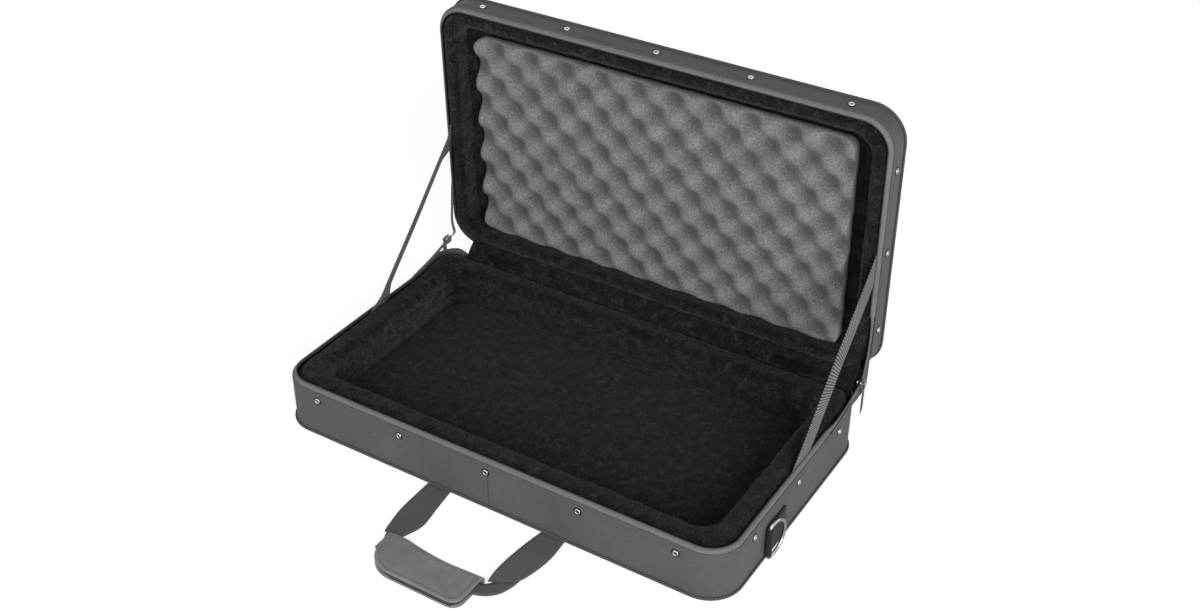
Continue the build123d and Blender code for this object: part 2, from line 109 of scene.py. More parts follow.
def setInputs(tree, node, inputs):
    # each input is given a value or linked to a socket
    for key, value in inputs.items():
        if isinstance(value, bpy.types.NodeSocket):
            tree.links.new(value, node.inputs[key])
        else:
            node.inputs[key].default_value = value
    return node


def addNode(tree, kind, inputs=None, **settings):
    node = tree.nodes.new("ShaderNode" + kind)
    for key, value in settings.items():
        setattr(node, key, value)
    return setInputs(tree, node, inputs or {})


def coordinates(tree, source="Object", stretch=(1, 1, 1), turn=0.0):
    place = addNode(tree, "TexCoord").outputs[source]
    return addNode(tree, "Mapping", {"Vector": place, "Scale": stretch, "Rotation": (0, 0, turn)}).outputs[0]


def noiseOn(tree, vector, scale, detail=4.0, rough=0.55):
    return addNode(tree, "TexNoise", {"Vector": vector, "Scale": scale, "Detail": detail,
                                      "Roughness": rough}).outputs[0]


def bandsOn(tree, vector, pitch, direction="X", distortion=0.0):
    # a wave's period is 2 pi / (20 x scale)
    return addNode(tree, "TexWave", {"Vector": vector, "Scale": 0.31416 / pitch, "Distortion": distortion},
                   bands_direction=direction).outputs[1]


def calc(tree, operation, first, second):
    return addNode(tree, "Math", {0: first, 1: second}, operation=operation).outputs[0]


def weighted(tree, *parts):
    # the sum of (value, weight) pairs
    total = calc(tree, "MULTIPLY", *parts[0])
    for part in parts[1:]:
        total = calc(tree, "ADD", total, calc(tree, "MULTIPLY", *part))
    return total


def ramp(tree, source, places, codes):
    node = addNode(tree, "ValToRGB", {0: source})
    points = node.color_ramp.elements
    while len(points) < len(places):
        points.new(0.5)
    for point, place, code in zip(points, places, codes.split()):
        point.position = place
        point.color = tone(code)
    return node.outputs[0]


def finishSurface(material, colour, height, depth, strength=0.6, rough=0.8, sheen=0.1, specular=0.3,
                  metal=0.0):
    tree = material.node_tree
    bump = addNode(tree, "Bump", {"Strength": strength, "Distance": depth, "Height": height})
    setInputs(tree, tree.nodes["Principled BSDF"], {
        "Base Color": colour, "Normal": bump.outputs[0], "Roughness": rough, "Metallic": metal,
        "Sheen Weight": sheen, "Sheen Roughness": 0.5, "Specular IOR Level": specular})
    return material


def makeCoverCloth():
    # a plain weave with slubs lying along the run, worn a little paler
    look = {"weave": 0.0011, "slub": (90, 1500, 1), "seamAt": 0.003, "seamLine": 0.0009, "seamDent": 0.0011}
    material, tree = startMaterial("coverCloth")
    flat, space = coordinates(tree, "UV"), coordinates(tree)
    slub = noiseOn(tree, coordinates(tree, "UV", look["slub"]), 1.0, 3.0, 0.6)
    blotch, fine = noiseOn(tree, space, 14.0, 3.0), noiseOn(tree, space, 900.0, 2.0)
    weave = calc(tree, "MULTIPLY", *(bandsOn(tree, flat, look["weave"], way) for way in "XY"))
    level = weighted(tree, (slub, 0.5), (blotch, 0.25), (fine, 0.25))
    colour = ramp(tree, level, (0.3, 0.5, 0.72), "484849 5b5b5c 6e6e6f")
    # the joining seam down the middle of the front shows as a dark line
    place = addNode(tree, "SeparateXYZ", {0: space}).outputs[0]
    across = calc(tree, "ABSOLUTE", calc(tree, "SUBTRACT", place, look["seamAt"]), 0)
    line = calc(tree, "MULTIPLY", calc(tree, "LESS_THAN", across, look["seamLine"]), 0.6)
    colour = addNode(tree, "Mix", {0: line, 6: colour, 7: tone("2c2c2d")}, data_type="RGBA").outputs[2]
    dent = calc(tree, "LESS_THAN", across, look["seamDent"])
    height = weighted(tree, (weave, 0.35), (slub, 0.8), (dent, -1.5))
    return finishSurface(material, colour, height, 0.0005, rough=0.78, sheen=0.12)


def makePlush():
    # painted shade: the tips of the pile are paler than its roots, as if shade fell between the tufts
    material, tree = startMaterial("plush")
    napShade = addNode(tree, "Attribute", attribute_name="napShade").outputs["Fac"]
    space = coordinates(tree)
    clump, fibre = noiseOn(tree, space, 75.0, 4.0, 0.65), noiseOn(tree, space, 420.0, 3.0, 0.75)
    level = weighted(tree, (napShade, 0.3), (clump, 0.75), (fibre, 0.55))
    colour = ramp(tree, level, (0.55, 0.78, 1.0), "080808 1d1c1d 4e4d4f")
    return finishSurface(material, colour, fibre, 0.0016, 1.0, rough=0.95, sheen=0.16, specular=0.08)


foamGrain = {"detail": 3.0, "fine": 0.8, "cloud": (30.0, 0.2), "places": (0.32, 0.5, 0.7), "depth": 0.0008,
             "strength": 0.7, "rough": 0.95, "sheen": 0.05, "specular": 0.15}
gripGrain = {"scale": 1300.0, "detail": 3.0, "fine": 0.7, "cloud": (45.0, 0.5), "places": (0.3, 0.5, 0.7),
             "rough": 0.72, "sheen": 0.15}


def makeGrained(name, codes, scale, rough, detail=4.0, fine=0.6, cloud=None, pitShadeAmount=0.0, places=(0.3, 0.7),
                depth=0.0003, strength=0.5, sheen=0.0, specular=0.35):
    # an even grain, with slow clouding where it is asked for and painted shade in the foam's pits
    material, tree = startMaterial(name)
    space = coordinates(tree)
    grain = level = noiseOn(tree, space, scale, detail, fine)
    if cloud:
        size, share = cloud
        level = weighted(tree, (grain, 1 - share), (noiseOn(tree, space, size, 3.0), share))
    if pitShadeAmount:
        # painted shade: the colour is darkened where the foam lies deep in its valleys
        pitShade = addNode(tree, "Attribute", attribute_name="pitShade").outputs["Fac"]
        level = weighted(tree, (level, 1.0), (pitShade, -pitShadeAmount))
    colour = ramp(tree, level, places, codes)
    return finishSurface(material, colour, grain, depth, strength, rough, sheen, specular)


def makeWebbing(name, codes, pitch=0.0021):
    # ribs run across the strap; u is across it and v along it
    material, tree = startMaterial(name)
    flat = coordinates(tree, "UV")
    ribs, threads = bandsOn(tree, flat, pitch, "Y", 0.4), bandsOn(tree, flat, pitch * 0.7)
    fleck, blotch = noiseOn(tree, flat, 900.0, 2.0), noiseOn(tree, coordinates(tree), 40.0, 3.0)
    level = weighted(tree, (ribs, 0.55), (fleck, 0.25), (blotch, 0.2))
    height = weighted(tree, (ribs, 1.0), (threads, 0.3))
    return finishSurface(material, ramp(tree, level, (0.25, 0.5, 0.75), codes), height, 0.0005, 0.7,
                         rough=0.7, specular=0.35)


def makePipingCloth():
    # cloth cut on the bias, so its ribs run slantwise round the cord
    material, tree = startMaterial("pipingCloth")
    slant = bandsOn(tree, coordinates(tree, "UV", turn=0.7), 0.0034, "X", 0.5)
    level = weighted(tree, (slant, 0.6), (noiseOn(tree, coordinates(tree), 500.0, 3.0), 0.4))
    colour = ramp(tree, level, (0.2, 0.5, 0.8), "343435 525253 6b6b6b")
    return finishSurface(material, colour, slant, 0.0006, rough=0.75)


def makeTapeCloth():
    # woven zip tape with a fine herringbone
    material, tree = startMaterial("tapeCloth")
    u, v = addNode(tree, "SeparateXYZ", {0: coordinates(tree, "UV")}).outputs[:2]
    bend = calc(tree, "ADD", u, calc(tree, "PINGPONG", v, 0.0022))
    twill = bandsOn(tree, addNode(tree, "CombineXYZ", {0: bend}).outputs[0], 0.0019)
    level = weighted(tree, (twill, 0.5), (noiseOn(tree, coordinates(tree), 800.0, 2.0), 0.5))
    return finishSurface(material, ramp(tree, level, (0.2, 0.5, 0.8), "4c4b4a 7d7b7a a19e9c"), twill, 0.0004)


def makeMetal(name, codes, rough):
    material, tree = startMaterial(name)
    colour = ramp(tree, noiseOn(tree, coordinates(tree), 160.0), (0.3, 0.7), codes)
    scratch = noiseOn(tree, coordinates(tree, stretch=(1, 1, 14)), 260.0, 2.0)
    polish = calc(tree, "ADD", calc(tree, "MULTIPLY", scratch, 0.16), rough - 0.06)
    return finishSurface(material, colour, scratch, 0.0001, 0.25, polish, sheen=0.0, specular=0.5, metal=1.0)


materials = {
    "cover": makeCoverCloth(),
    "plush": makePlush(),
    # the egg crate's colour carries painted shade in its valleys
    "eggFoam": makeGrained("eggFoam", "5e5b5e 888688 b0aeb0", 420.0, pitShadeAmount=0.2, **foamGrain),
    "rigidFoam": makeGrained("rigidFoam", "26262a 333337 414146", 700.0, **foamGrain),
    "piping": makePipingCloth(),
    "tape": makeTapeCloth(),
    "coil": makeGrained("coilNylon", "343434 4c4b4b", 500.0, 0.5),
    "webbing": makeWebbing("handleWebbing", "454241 605d5b 7c7876", 0.0026),
    "darkWebbing": makeWebbing("ringWebbing", "161617 212121 2f2e2e"),
    "stay": makeWebbing("stayWebbing", "2f2f30 626264 9a9a9b", 0.0042),
    "grip": makeGrained("gripCloth", "737374 898989 9c9c9d", **gripGrain),
    "pull": makeGrained("pullCloth", "686866 7c7c7a 919190", **gripGrain),
    "thread": makeGrained("thread", "2a2a2b 3f3f40", 900.0, 0.7),
    "chrome": makeMetal("chrome", "a9a9ab d6d6d6", 0.2),
    "darkWasher": makeMetal("washerMetal", "1d1c1c 343332", 0.4),
    "board": makeGrained("fibreBoard", "4a4036 6a5d4f", 220.0, 0.85),
    "framePlastic": makeGrained("framePlastic", "1b1b1c 2a2a2b", 300.0, 0.45),
    "hook": makeGrained("hookTape", "232324 3a3a3b", 1400.0, 0.7, depth=0.0008),
    "loop": makeGrained("loopTape", "2c2c2d 4b4b4c", 1700.0, 0.95, depth=0.0012, sheen=0.2),
}
print("materials made:", len(materials))


# ---- shared ways of shaping

def vertsOf(geometry):
    return [g for g in geometry if isinstance(g, bmesh.types.BMVert)]


def extrudeRim(bm, rim):
    made = bmesh.ops.extrude_edge_only(bm, edges=rim)["geom"]
    return [g for g in made if isinstance(g, bmesh.types.BMEdge)], vertsOf(made)


def closeRim(bm, level):
    # walls from the open edge to a level, and one face across them
    edges, verts = extrudeRim(bm, [e for e in bm.edges if e.is_boundary])
    for vert in verts:
        vert.co.z = level
    bmesh.ops.contextual_create(bm, geom=edges)


def flatGrid(halfX, halfY, countX, countY):
    bm = bmesh.new()
    bmesh.ops.create_grid(bm, x_segments=countX, y_segments=countY, size=1.0)
    bmesh.ops.scale(bm, vec=(halfX, halfY, 1), verts=bm.verts)
    return bm


def faceOutward(bm):
    bmesh.ops.recalc_face_normals(bm, faces=bm.faces)
    bm.normal_update()


def facingAway(bm, up):
    # turns every face towards one side of a lying strip
    bm.normal_update()
    for face in bm.faces:
        if face.normal.z * up < 0:
            face.normal_flip()


def fraction(value, start, span):
    # how far a value has come through a span, held to 0..1
    return min(1.0, max(0.0, (value - start) / span))


def outlineLegs(run):
    ring = [("x", 1), (coreX, -coreY), ("y", 1), (coreX, coreY),
            ("x", -1), (-coreX, coreY), ("y", -1), (-coreX, -coreY)]
    return ring if run == "ring" else ring[6:] + ring[:3]


def straightLeg(bm, geometry, leg, distance, count, copies=False):
    shift = leg[1] * distance / count
    return bmesh.ops.spin(bm, geom=geometry, cent=(0, 0, 0), axis=(0, 0, 1), angle=0.0, steps=count,
                          dvec=(shift, 0, 0) if leg[0] == "x" else (0, shift, 0),
                          use_merge=False, use_duplicate=copies)["geom_last"]


def cornerLeg(bm, geometry, centre, steps, copies=False):
    return bmesh.ops.spin(bm, geom=geometry, cent=(*centre, 0), axis=(0, 0, 1), dvec=(0, 0, 0),
                          angle=math.pi / 2, steps=steps, use_merge=False,
                          use_duplicate=copies)["geom_last"]


def sweepProfile(bm, profile, run="ring", loop=False, step=8.0, cornerSteps=10):
    # profile points are (inset from the outline, height); long straights are divided afterwards
    if run == "ring":
        points = [bm.verts.new((-coreX, inset - case["halfWidth"], z)) for inset, z in profile]
    else:
        points = [bm.verts.new((inset - case["halfLength"], coreY, z)) for inset, z in profile]
    following = points[1:] + (points[:1] if loop else [])
    geometry = points + [bm.edges.new(pair) for pair in zip(points, following)]
    for leg in outlineLegs(run):
        if leg[0] in ("x", "y"):
            geometry = straightLeg(bm, geometry, leg, 2 * (coreX if leg[0] == "x" else coreY), 1)
        else:
            geometry = cornerLeg(bm, geometry, leg, cornerSteps)
    if run == "ring":
        bmesh.ops.remove_doubles(bm, verts=bm.verts, dist=0.02)
    elif loop:
        bmesh.ops.contextual_create(bm, geom=points)
        bmesh.ops.contextual_create(bm, geom=[g for g in geometry if isinstance(g, bmesh.types.BMVert)])
    for length in (2 * coreX, 2 * coreY):
        straights = [e for e in bm.edges if abs(e.calc_length() - length) < 0.5]
        bmesh.ops.subdivide_edges(bm, edges=straights, cuts=round(length / step) - 1, use_grid_fill=True)


def withLinks(verts):
    edges, faces = {e for v in verts for e in v.link_edges}, {f for v in verts for f in v.link_faces}
    return verts + list(edges) + list(faces)


def repeatRound(bm, pitch, cornerSteps, group=15):
    # repeats the small shape in bm round the three zipped sides, in groups along the straights
    geometry = bm.verts[:] + bm.edges[:] + bm.faces[:]
    for leg in outlineLegs("three"):
        if leg[0] not in ("x", "y"):
            geometry = cornerLeg(bm, geometry, leg, cornerSteps, True)
            continue
        distance = 2 * (coreX if leg[0] == "x" else coreY)
        groups = round(distance / pitch / group)
        spacing = distance / (groups * group)
        known = set(bm.verts) - set(vertsOf(geometry))
        straightLeg(bm, geometry, leg, spacing * (group - 1), group - 1, True)
        fresh = withLinks([v for v in bm.verts if v not in known])
        last = vertsOf(straightLeg(bm, fresh, leg, distance - spacing * group, groups - 1, True))
        last.sort(key=lambda v: leg[1] * (v.co.x if leg[0] == "x" else v.co.y))
        geometry = straightLeg(bm, withLinks(last[-len(last) // group:]), leg, spacing, 1, True)


def outlinePlace(x, y):
    # how far round the outline a point lies, and how far out from the corner centres
    u, v = max(-coreX, min(coreX, x)), max(-coreY, min(coreY, y))
    dx, dy = (0.0 if abs(gap) < 1e-6 else gap for gap in (x - u, y - v))
    turned = (math.atan2(dy, dx) + math.pi / 2) % math.tau
    straights = (coreX + u, 2 * coreX + coreY + v, 3 * coreX + 2 * coreY - u, 4 * coreX + 3 * coreY - v)
    return straights[int(turned * 2 / math.pi + 1e-9)] + bendRadius * turned, math.hypot(x - u, y - v)


outlineLength = 4 * coreX + 4 * coreY + bendRadius * math.tau


def layRunUv(bm, height=lambda place, out: place.z):
    # u follows the outline and v climbs the wall, both in metres
    layer = bm.loops.layers.uv.new("UVMap")
    for face in bm.faces:
        flat = abs(face.normal.z) > 0.95 and face.calc_center_median().z < 1.0
        spots = [(loop, *outlinePlace(loop.vert.co.x, loop.vert.co.y)) for loop in face.loops]
        farthest = max(spot[1] for spot in spots)
        for loop, along, out in spots:
            if farthest - along > outlineLength / 2:
                along += outlineLength
            u, v = loop.vert.co.xy if flat else (along, height(loop.vert.co, out))
            loop[layer].uv = (u * 0.001, v * 0.001)


def easeCorners(bm, innerInset, innerRadius, outerInset=8.4):
    # the inner face turns its corners more gently than the outline does
    for vert in bm.verts:
        u, v = max(-coreX, min(coreX, vert.co.x)), max(-coreY, min(coreY, vert.co.y))
        out = math.hypot(vert.co.x - u, vert.co.y - v)
        if out < 1e-6:
            continue
        away = Vector((vert.co.x - u, vert.co.y - v)) / out
        inset = case["corner"] - out
        share = fraction(inset, outerInset, innerInset - outerInset)
        radius = out + share * (innerRadius - (case["corner"] - innerInset))
        centreX = (case["halfLength"] - inset - radius) / coreX
        centreY = (case["halfWidth"] - inset - radius) / coreY
        vert.co.x = u * centreX + away.x * radius
        vert.co.y = v * centreY + away.y * radius


def insetArc(centre, radius, startAngle, endAngle, count):
    # points of a rounded edge as (inset, height)
    for k in range(count + 1):
        angle = math.radians(startAngle + (endAngle - startAngle) * k / count)
        yield centre[0] + radius * math.cos(angle), centre[1] + radius * math.sin(angle)


def dividedLine(start, end, step):
    count = max(1, round(math.dist(start, end) / step))
    return [tuple(a + (b - a) * k / count for a, b in zip(start, end)) for k in range(count)]


def roughen(bm, size, depth, seed=0, verts=None):
    shift = Vector((seed * 17.3, seed * 5.1, seed * 9.7))
    moves = [(v, v.normal * depth * noise.noise(v.co / size + shift)) for v in (verts or bm.verts)]
    for vert, move in moves:
        vert.co += move


def raiseNap(bm, faces, height, lean, seed):
    # every face of the pile gets a tuft with its own height and lean
    layer = bm.verts.layers.float.new("napShade")
    dice = random.Random(seed)
    made = bmesh.ops.poke(bm, faces=faces, offset=0.0, center_mode="MEAN", use_relative_offset=False)
    bm.normal_update()
    for vert in made["verts"]:
        side = Vector((dice.uniform(-1, 1), dice.uniform(-1, 1), dice.uniform(-1, 1)))
        side -= side.dot(vert.normal) * vert.normal
        vert.co += vert.normal * height * dice.uniform(0.35, 1.0) + side * lean
        # painted shade: the tip of each tuft is marked paler, while its roots stay dark
        vert[layer] = dice.uniform(0.4, 1.0)


def makeStrip(bm, along, across, place, length, width):
    # a flat grid laid by a rule: s runs 0..1 along the strip, t -0.5..0.5 across it
    made = bmesh.ops.create_grid(bm, x_segments=across, y_segments=along, size=0.5)
    verts = set(made["verts"])
    layer = bm.loops.layers.uv.verify()
    spots = {v: (v.co.y + 0.5, v.co.x) for v in verts}
    for face in bm.faces:
        if face.verts[0] in verts:
            for loop in face.loops:
                s, t = spots[loop.vert]
                loop[layer].uv = ((t + 0.5) * width * 0.001, s * length * 0.001)
    for vert, (s, t) in spots.items():
        vert.co = place(s, t)
    return made["verts"]


def pathPlace(points, s):
    # a point at the share s of a run of straight pieces, and its direction
    spans = [(Vector(b) - Vector(a)).length for a, b in zip(points, points[1:])]
    left = s * sum(spans)
    for k, span in enumerate(spans):
        if left <= span or k == len(spans) - 1:
            a, b = Vector(points[k]), Vector(points[k + 1])
            return a.lerp(b, min(1.0, left / span)), (b - a).normalized()
        left -= span


def smoothPath(points, rounds=3):
    # corner cutting that keeps both ends
    for _ in range(rounds):
        cut = [Vector(points[0])]
        for a, b in zip(points, points[1:]):
            a, b = Vector(a), Vector(b)
            cut += [a.lerp(b, 0.25), a.lerp(b, 0.75)]
        points = cut + [Vector(points[-1])]
    return points


def pathLength(points):
    return sum((Vector(b) - Vector(a)).length for a, b in zip(points, points[1:]))


def addStitch(bm, centre, along, up, length=2.6, thick=0.7):
    along, up = Vector(along).normalized(), Vector(up).normalized()
    side = along.cross(up).normalized()
    up = side.cross(along)
    turn = Matrix((along, side, up)).transposed().to_4x4()
    size = Matrix.Diagonal((length / 2, thick / 2, thick * 0.4, 1))
    bmesh.ops.create_icosphere(bm, subdivisions=1, radius=1.0,
                               matrix=Matrix.Translation(centre) @ turn @ size)


stitchPitch = 3.6


def stitchLine(bm, start, end, up, pitch=stitchPitch):
    start, end = Vector(start), Vector(end)
    count = max(1, round((end - start).length / pitch))
    for k in range(count):
        addStitch(bm, start.lerp(end, (k + 0.5) / count), end - start, up)


def stitchBox(bm, corners, up):
    # a box of stitches with a cross in it
    for a, b in zip(corners, corners[1:] + corners[:1]):
        stitchLine(bm, a, b, up)
    for k in (0, 1):
        stitchLine(bm, corners[k], corners[k + 2], up)


def meshFrom(bm, name):
    mesh = bpy.data.meshes.new(name)
    bm.to_mesh(mesh)
    bm.free()
    return mesh


def addObject(name, data):
    made = bpy.data.objects.new(name, data)
    bpy.context.scene.collection.objects.link(made)
    return made


def finishPiece(bm, name, material, body=None, nodes=(), onLid=False, outward=True):
    if outward:
        bmesh.ops.recalc_face_normals(bm, faces=bm.faces)
    if onLid:
        bmesh.ops.transform(bm, matrix=lidPlacement(), verts=bm.verts)
        bmesh.ops.reverse_faces(bm, faces=bm.faces)
    bmesh.ops.scale(bm, vec=(0.001, 0.001, 0.001), verts=bm.verts)
    for face in bm.faces:
        face.smooth = True
    piece = addObject(name, meshFrom(bm, name))
    piece.data.materials.append(materials[material])
    if nodes:
        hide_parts(*nodes)
    if body:
        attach(piece, body)
    return piece


def finishTray(bm, side, name, material, node, outward=True):
    return finishPiece(bm, side + name, material, side, [side + "_" + node], side == "lid", outward)


def thicken(piece, thickness, offset=0.0):
    wall = piece.modifiers.new("wall", "SOLIDIFY")
    wall.thickness, wall.offset = thickness * 0.001, offset
    wall.use_rim = True
    return piece


def soften(piece):
    smooth = piece.modifiers.new("smooth", "SUBSURF")
    smooth.levels = smooth.render_levels = 1


def settle(piece):
    # applies the piece's modifiers, so that its mesh is final
    graph = bpy.context.evaluated_depsgraph_get()
    mesh = bpy.data.meshes.new_from_object(piece.evaluated_get(graph))
    piece.modifiers.clear()
    piece.data = mesh
    return piece


# ---- cover, piping and zip of the two trays

trayParts = {
    "base": {"height": case["baseHeight"], "seed": 1},
    "lid": {"height": case["lidHeight"], "seed": 2},
}
liftLook = {"rise": 14.0, "along": (102.0, 88.0), "aside": (319.0, 30.0)}


def raiseCorners(bm, start, span, amount=1.0):
    # towards the hinge the base's edge rises to where the zip ends
    for vert in bm.verts:
        along = fraction(vert.co.y, *liftLook["along"])
        aside = fraction(abs(vert.co.x), *liftLook["aside"])
        lift = liftLook["rise"] * along * along * (3 - 2 * along) * aside * aside * (3 - 2 * aside)
        vert.co.z += amount * fraction(vert.co.z, start, span) * lift


coverLook = {"thick": 1.5, "edge": 2.6, "hem": 4.8, "ripple": 0.3, "panelRings": 12, "crown": 0.3}


def makeCover(side):
    tray, look = trayParts[side], coverLook
    top, edge = tray["height"], look["edge"]
    hem, rings = top - look["hem"], look["panelRings"] + 1
    profile = [(16.0, 0.0), (7.0, 0.0), (edge, 0.0), (0.25 * edge, 0.3 * edge), (0.0, edge)]
    profile += dividedLine((0.0, edge + 5.0), (0.0, hem - 1.0), 9.0)
    profile += [(0.0, hem - 1.0), (0.55, hem - 0.2), (0.55, hem), (-0.1, hem + 0.7),
                (-0.15, top - 1.6), (0.1, top - 0.4), (0.9, top)]
    bm = bmesh.new()
    sweepProfile(bm, profile, step=10.0, cornerSteps=18)
    rim = [e for e in bm.edges if e.is_boundary and e.verts[0].co.z < 1.0]
    for k in range(look["panelRings"]):
        rim, verts = extrudeRim(bm, rim)
        shrink = (1 - (k + 1) / rings) / (1 - k / rings)
        bmesh.ops.scale(bm, vec=(shrink, shrink, 1.0), verts=verts)
    bmesh.ops.contextual_create(bm, geom=rim)
    faceOutward(bm)
    layRunUv(bm)
    roughen(bm, 46.0, look["ripple"], tray["seed"], [v for v in bm.verts if 4.0 < v.co.z < hem - 2.0])
    if side == "base":
        raiseCorners(bm, 66.0, 13.0)
    else:   # the lid's big panel swells a little between its edges
        for vert in bm.verts:
            if vert.co.z < 0.01:
                x, y = vert.co.x / 360.0, vert.co.y / 200.0
                swell = max(0.0, 1 - x ** 4) * max(0.0, 1 - y ** 4)
                vert.co.z -= look["crown"] * swell + 0.15 * swell * noise.noise(vert.co / 70.0)
    thicken(finishTray(bm, side, "CoverShell", "cover", "cover", False), look["thick"], -1.0)


pipingLook = {"outside": 1.5, "height": 5.1, "radius": 1.9, "sides": 10}


def makePiping(side):
    look = pipingLook
    outside, middle, radius = look["outside"], look["height"], look["radius"]
    turns = [math.tau * k / look["sides"] for k in range(look["sides"])]
    bm = bmesh.new()
    sweepProfile(bm, [(radius * math.cos(turn) * 0.85 - outside, middle + radius * 1.25 * math.sin(turn))
                      for turn in turns], loop=True, step=12.0, cornerSteps=12)
    layRunUv(bm, lambda place, out: 2.6 * math.atan2(place.z - middle, out - case["corner"] - outside))
    finishTray(bm, side, "PipingCord", "piping", "piping")


tapeLook = {"thick": 1.1, "toothPitch": 2.1, "tooth": (1.2, 0.75, 0.85, 1.0), "coilInset": 7.0,
            "coilRise": 5.1, "handOver": 98.0}


def trimRun(bm):
    # the straight tape stops where the corner cloth takes over
    bmesh.ops.bisect_plane(bm, geom=bm.verts[:] + bm.edges[:] + bm.faces[:], dist=0.001,
                           plane_co=(0, tapeLook["handOver"], 0), plane_no=(0, 1, 0), clear_outer=True)


def makeZip(side):
    look, top = tapeLook, trayParts[side]["height"]
    bm = bmesh.new()
    profile = [(1.9, top - 4.4), (1.9, top - 0.4), (2.6, top + 2.0), (4.3, top + 3.9), (6.6, top + 4.8)]
    sweepProfile(bm, profile, run="three", cornerSteps=12)
    trimRun(bm)
    bm.normal_update()
    layRunUv(bm)
    thicken(finishTray(bm, side, "ZipTapeBand", "tape", "zip_tape", False), look["thick"])
    # the coil: one tooth carried round the three sides
    bm = bmesh.new()
    place = Matrix.Translation((look["coilInset"] - case["halfLength"], coreY, top + look["coilRise"]))
    bmesh.ops.create_icosphere(bm, subdivisions=1, radius=1.0, matrix=place @ Matrix.Diagonal(look["tooth"]))
    bend = (case["corner"] - look["coilInset"]) * math.pi / 2
    repeatRound(bm, look["toothPitch"], round(bend / look["toothPitch"]))
    core = bmesh.new()
    sweepProfile(core, [(6.4, top + 4.5), (7.4, top + 4.5), (7.4, top + 5.5), (6.4, top + 5.5)],
                 run="three", loop=True, step=12.0, cornerSteps=12)
    joined = meshFrom(core, "coilCore")
    bm.from_mesh(joined)
    bpy.data.meshes.remove(joined)
    trimRun(bm)
    finishTray(bm, side, "ZipCoilTeeth", "coil", "zip_coil")


for side in trayParts:
    makeCover(side)
    makePiping(side)
    makeZip(side)
print("covers, piping and zips made")


# ---- plush linings

liningLook = {
    "mesh": 3.2, "napHeight": 1.7, "lean": 1.1, "clump": 1.3, "clumpSize": 11.0, "seat": 9.0,
    "base": {"inner": 45.0, "round": 13.2, "shelf": 72.0, "foot": 14.6, "shown": 23.0},
    "lid": {"inner": 30.0, "round": 7.8, "shelf": 30.0, "foot": 10.6, "shown": 9.0},
}


def makeWallLining(side):
    tray, look, shape = trayParts[side], liningLook, liningLook[side]
    mesh, inner, bend = look["mesh"], shape["inner"], shape["round"] - 0.6
    low, peak = shape["shelf"], tray["height"] + 5.4
    face, seat = inner - 0.6, look["seat"]
    turns = round(1.57 * bend / mesh)
    profile = [(inner - 4.0, shape["foot"]), (face, shape["foot"])]
    profile += dividedLine((face, shape["shown"] + 2.0), (face, peak - bend), mesh)
    profile += insetArc((face - bend, peak - bend), bend, 0, 90, turns)
    profile += dividedLine((face - bend, peak), (seat + bend, peak), mesh)[1:]
    profile += insetArc((seat + bend, peak - bend), bend, 90, 180, turns)
    profile += [(seat, low), (inner - 4.0, low)]
    bm = bmesh.new()
    sweepProfile(bm, profile, loop=True, step=mesh, cornerSteps=18)
    easeCorners(bm, inner, 34.0)
    faceOutward(bm)
    shown = [v for v in bm.verts if v.co.z > shape["shown"] + 1.0 and
             (v.co.z > low + 2.0 or abs(v.normal.z) < 0.5)]
    roughen(bm, look["clumpSize"], look["clump"], tray["seed"], shown)
    roughen(bm, 60.0, 1.2, tray["seed"] + 3, shown)
    bm.normal_update()
    faces = [f for f in bm.faces if f.calc_center_median().z > shape["shown"] and
             f.calc_area() < 3 * mesh * mesh and f.normal.z > -0.3]
    raiseNap(bm, faces, look["napHeight"], look["lean"], tray["seed"])
    if side == "base":
        raiseCorners(bm, 50.0, 30.0, 0.75)
    finishTray(bm, side, "WallPlush", "plush", "wall_lining")


for side in trayParts:
    makeWallLining(side)
print("wall linings made")


def roundedCorner(x, y, halfX, halfY, radius):
    # carries a square grid's corner onto the rounded corner
    dx, dy = abs(x) - (halfX - radius), abs(y) - (halfY - radius)
    if dx <= 0 or dy <= 0:
        return x, y
    scale = max(dx, dy) / math.hypot(dx, dy)
    return (math.copysign(halfX - radius + dx * scale, x), math.copysign(halfY - radius + dy * scale, y))


floorLook = {"halfX": 322.4, "halfY": 163.9, "radius": 33.5, "low": 14.8, "top": 23.6, "mesh": 3.6}


def makeFloorLining():
    look = floorLook
    halfX, halfY, mesh = look["halfX"], look["halfY"], look["mesh"]
    bm = flatGrid(halfX, halfY, round(2 * halfX / mesh), round(2 * halfY / mesh))
    for vert in bm.verts:
        vert.co.x, vert.co.y = roundedCorner(vert.co.x, vert.co.y, halfX, halfY, look["radius"])
        vert.co.z = look["top"]
    bm.normal_update()
    roughen(bm, 12.0, 1.0, 5)
    roughen(bm, 80.0, 1.0, 6)
    bm.normal_update()
    top = bm.faces[:]
    closeRim(bm, look["low"])
    raiseNap(bm, top, 1.5, 1.1, 4)
    finishPiece(bm, "baseFloorPlush", "plush", "base", ["base_floor_lining"])


backLook = {"inset": (47.0, 20.0), "levels": (10.2, 4.8)}


def makeBackLining():
    (inner, outer), (top, low) = backLook["inset"], backLook["levels"]
    bm = bmesh.new()
    profile = dividedLine((inner, top), (outer, top), 3.4) + [(outer, top), (outer, low), (inner, low)]
    sweepProfile(bm, profile, step=4.0, cornerSteps=14)
    easeCorners(bm, inner, 30.0, 19.0)
    for level in (top, low):
        edges = [e for e in bm.edges if e.is_boundary and abs(e.verts[0].co.z - level) < 0.01]
        bmesh.ops.contextual_create(bm, geom=edges)
    faceOutward(bm)
    faces = [f for f in bm.faces if f.normal.z > 0.9 and f.calc_area() < 60]
    roughen(bm, 12.0, 0.9, 8, list({v for f in faces for v in f.verts}))
    raiseNap(bm, faces, 1.4, 1.1, 9)
    finishPiece(bm, "lidBackPlush", "plush", "lid", ["lid_back_lining"], True)


makeFloorLining()
makeBackLining()
print("floor and back linings made")


crateLook = {"halfX": 310.0, "halfY": 169.0, "shiftY": 8.5, "radius": 16.0, "low": 10.8,
             "valley": 17.6, "peak": 34.2, "pitch": 30.5, "mesh": 3.3}


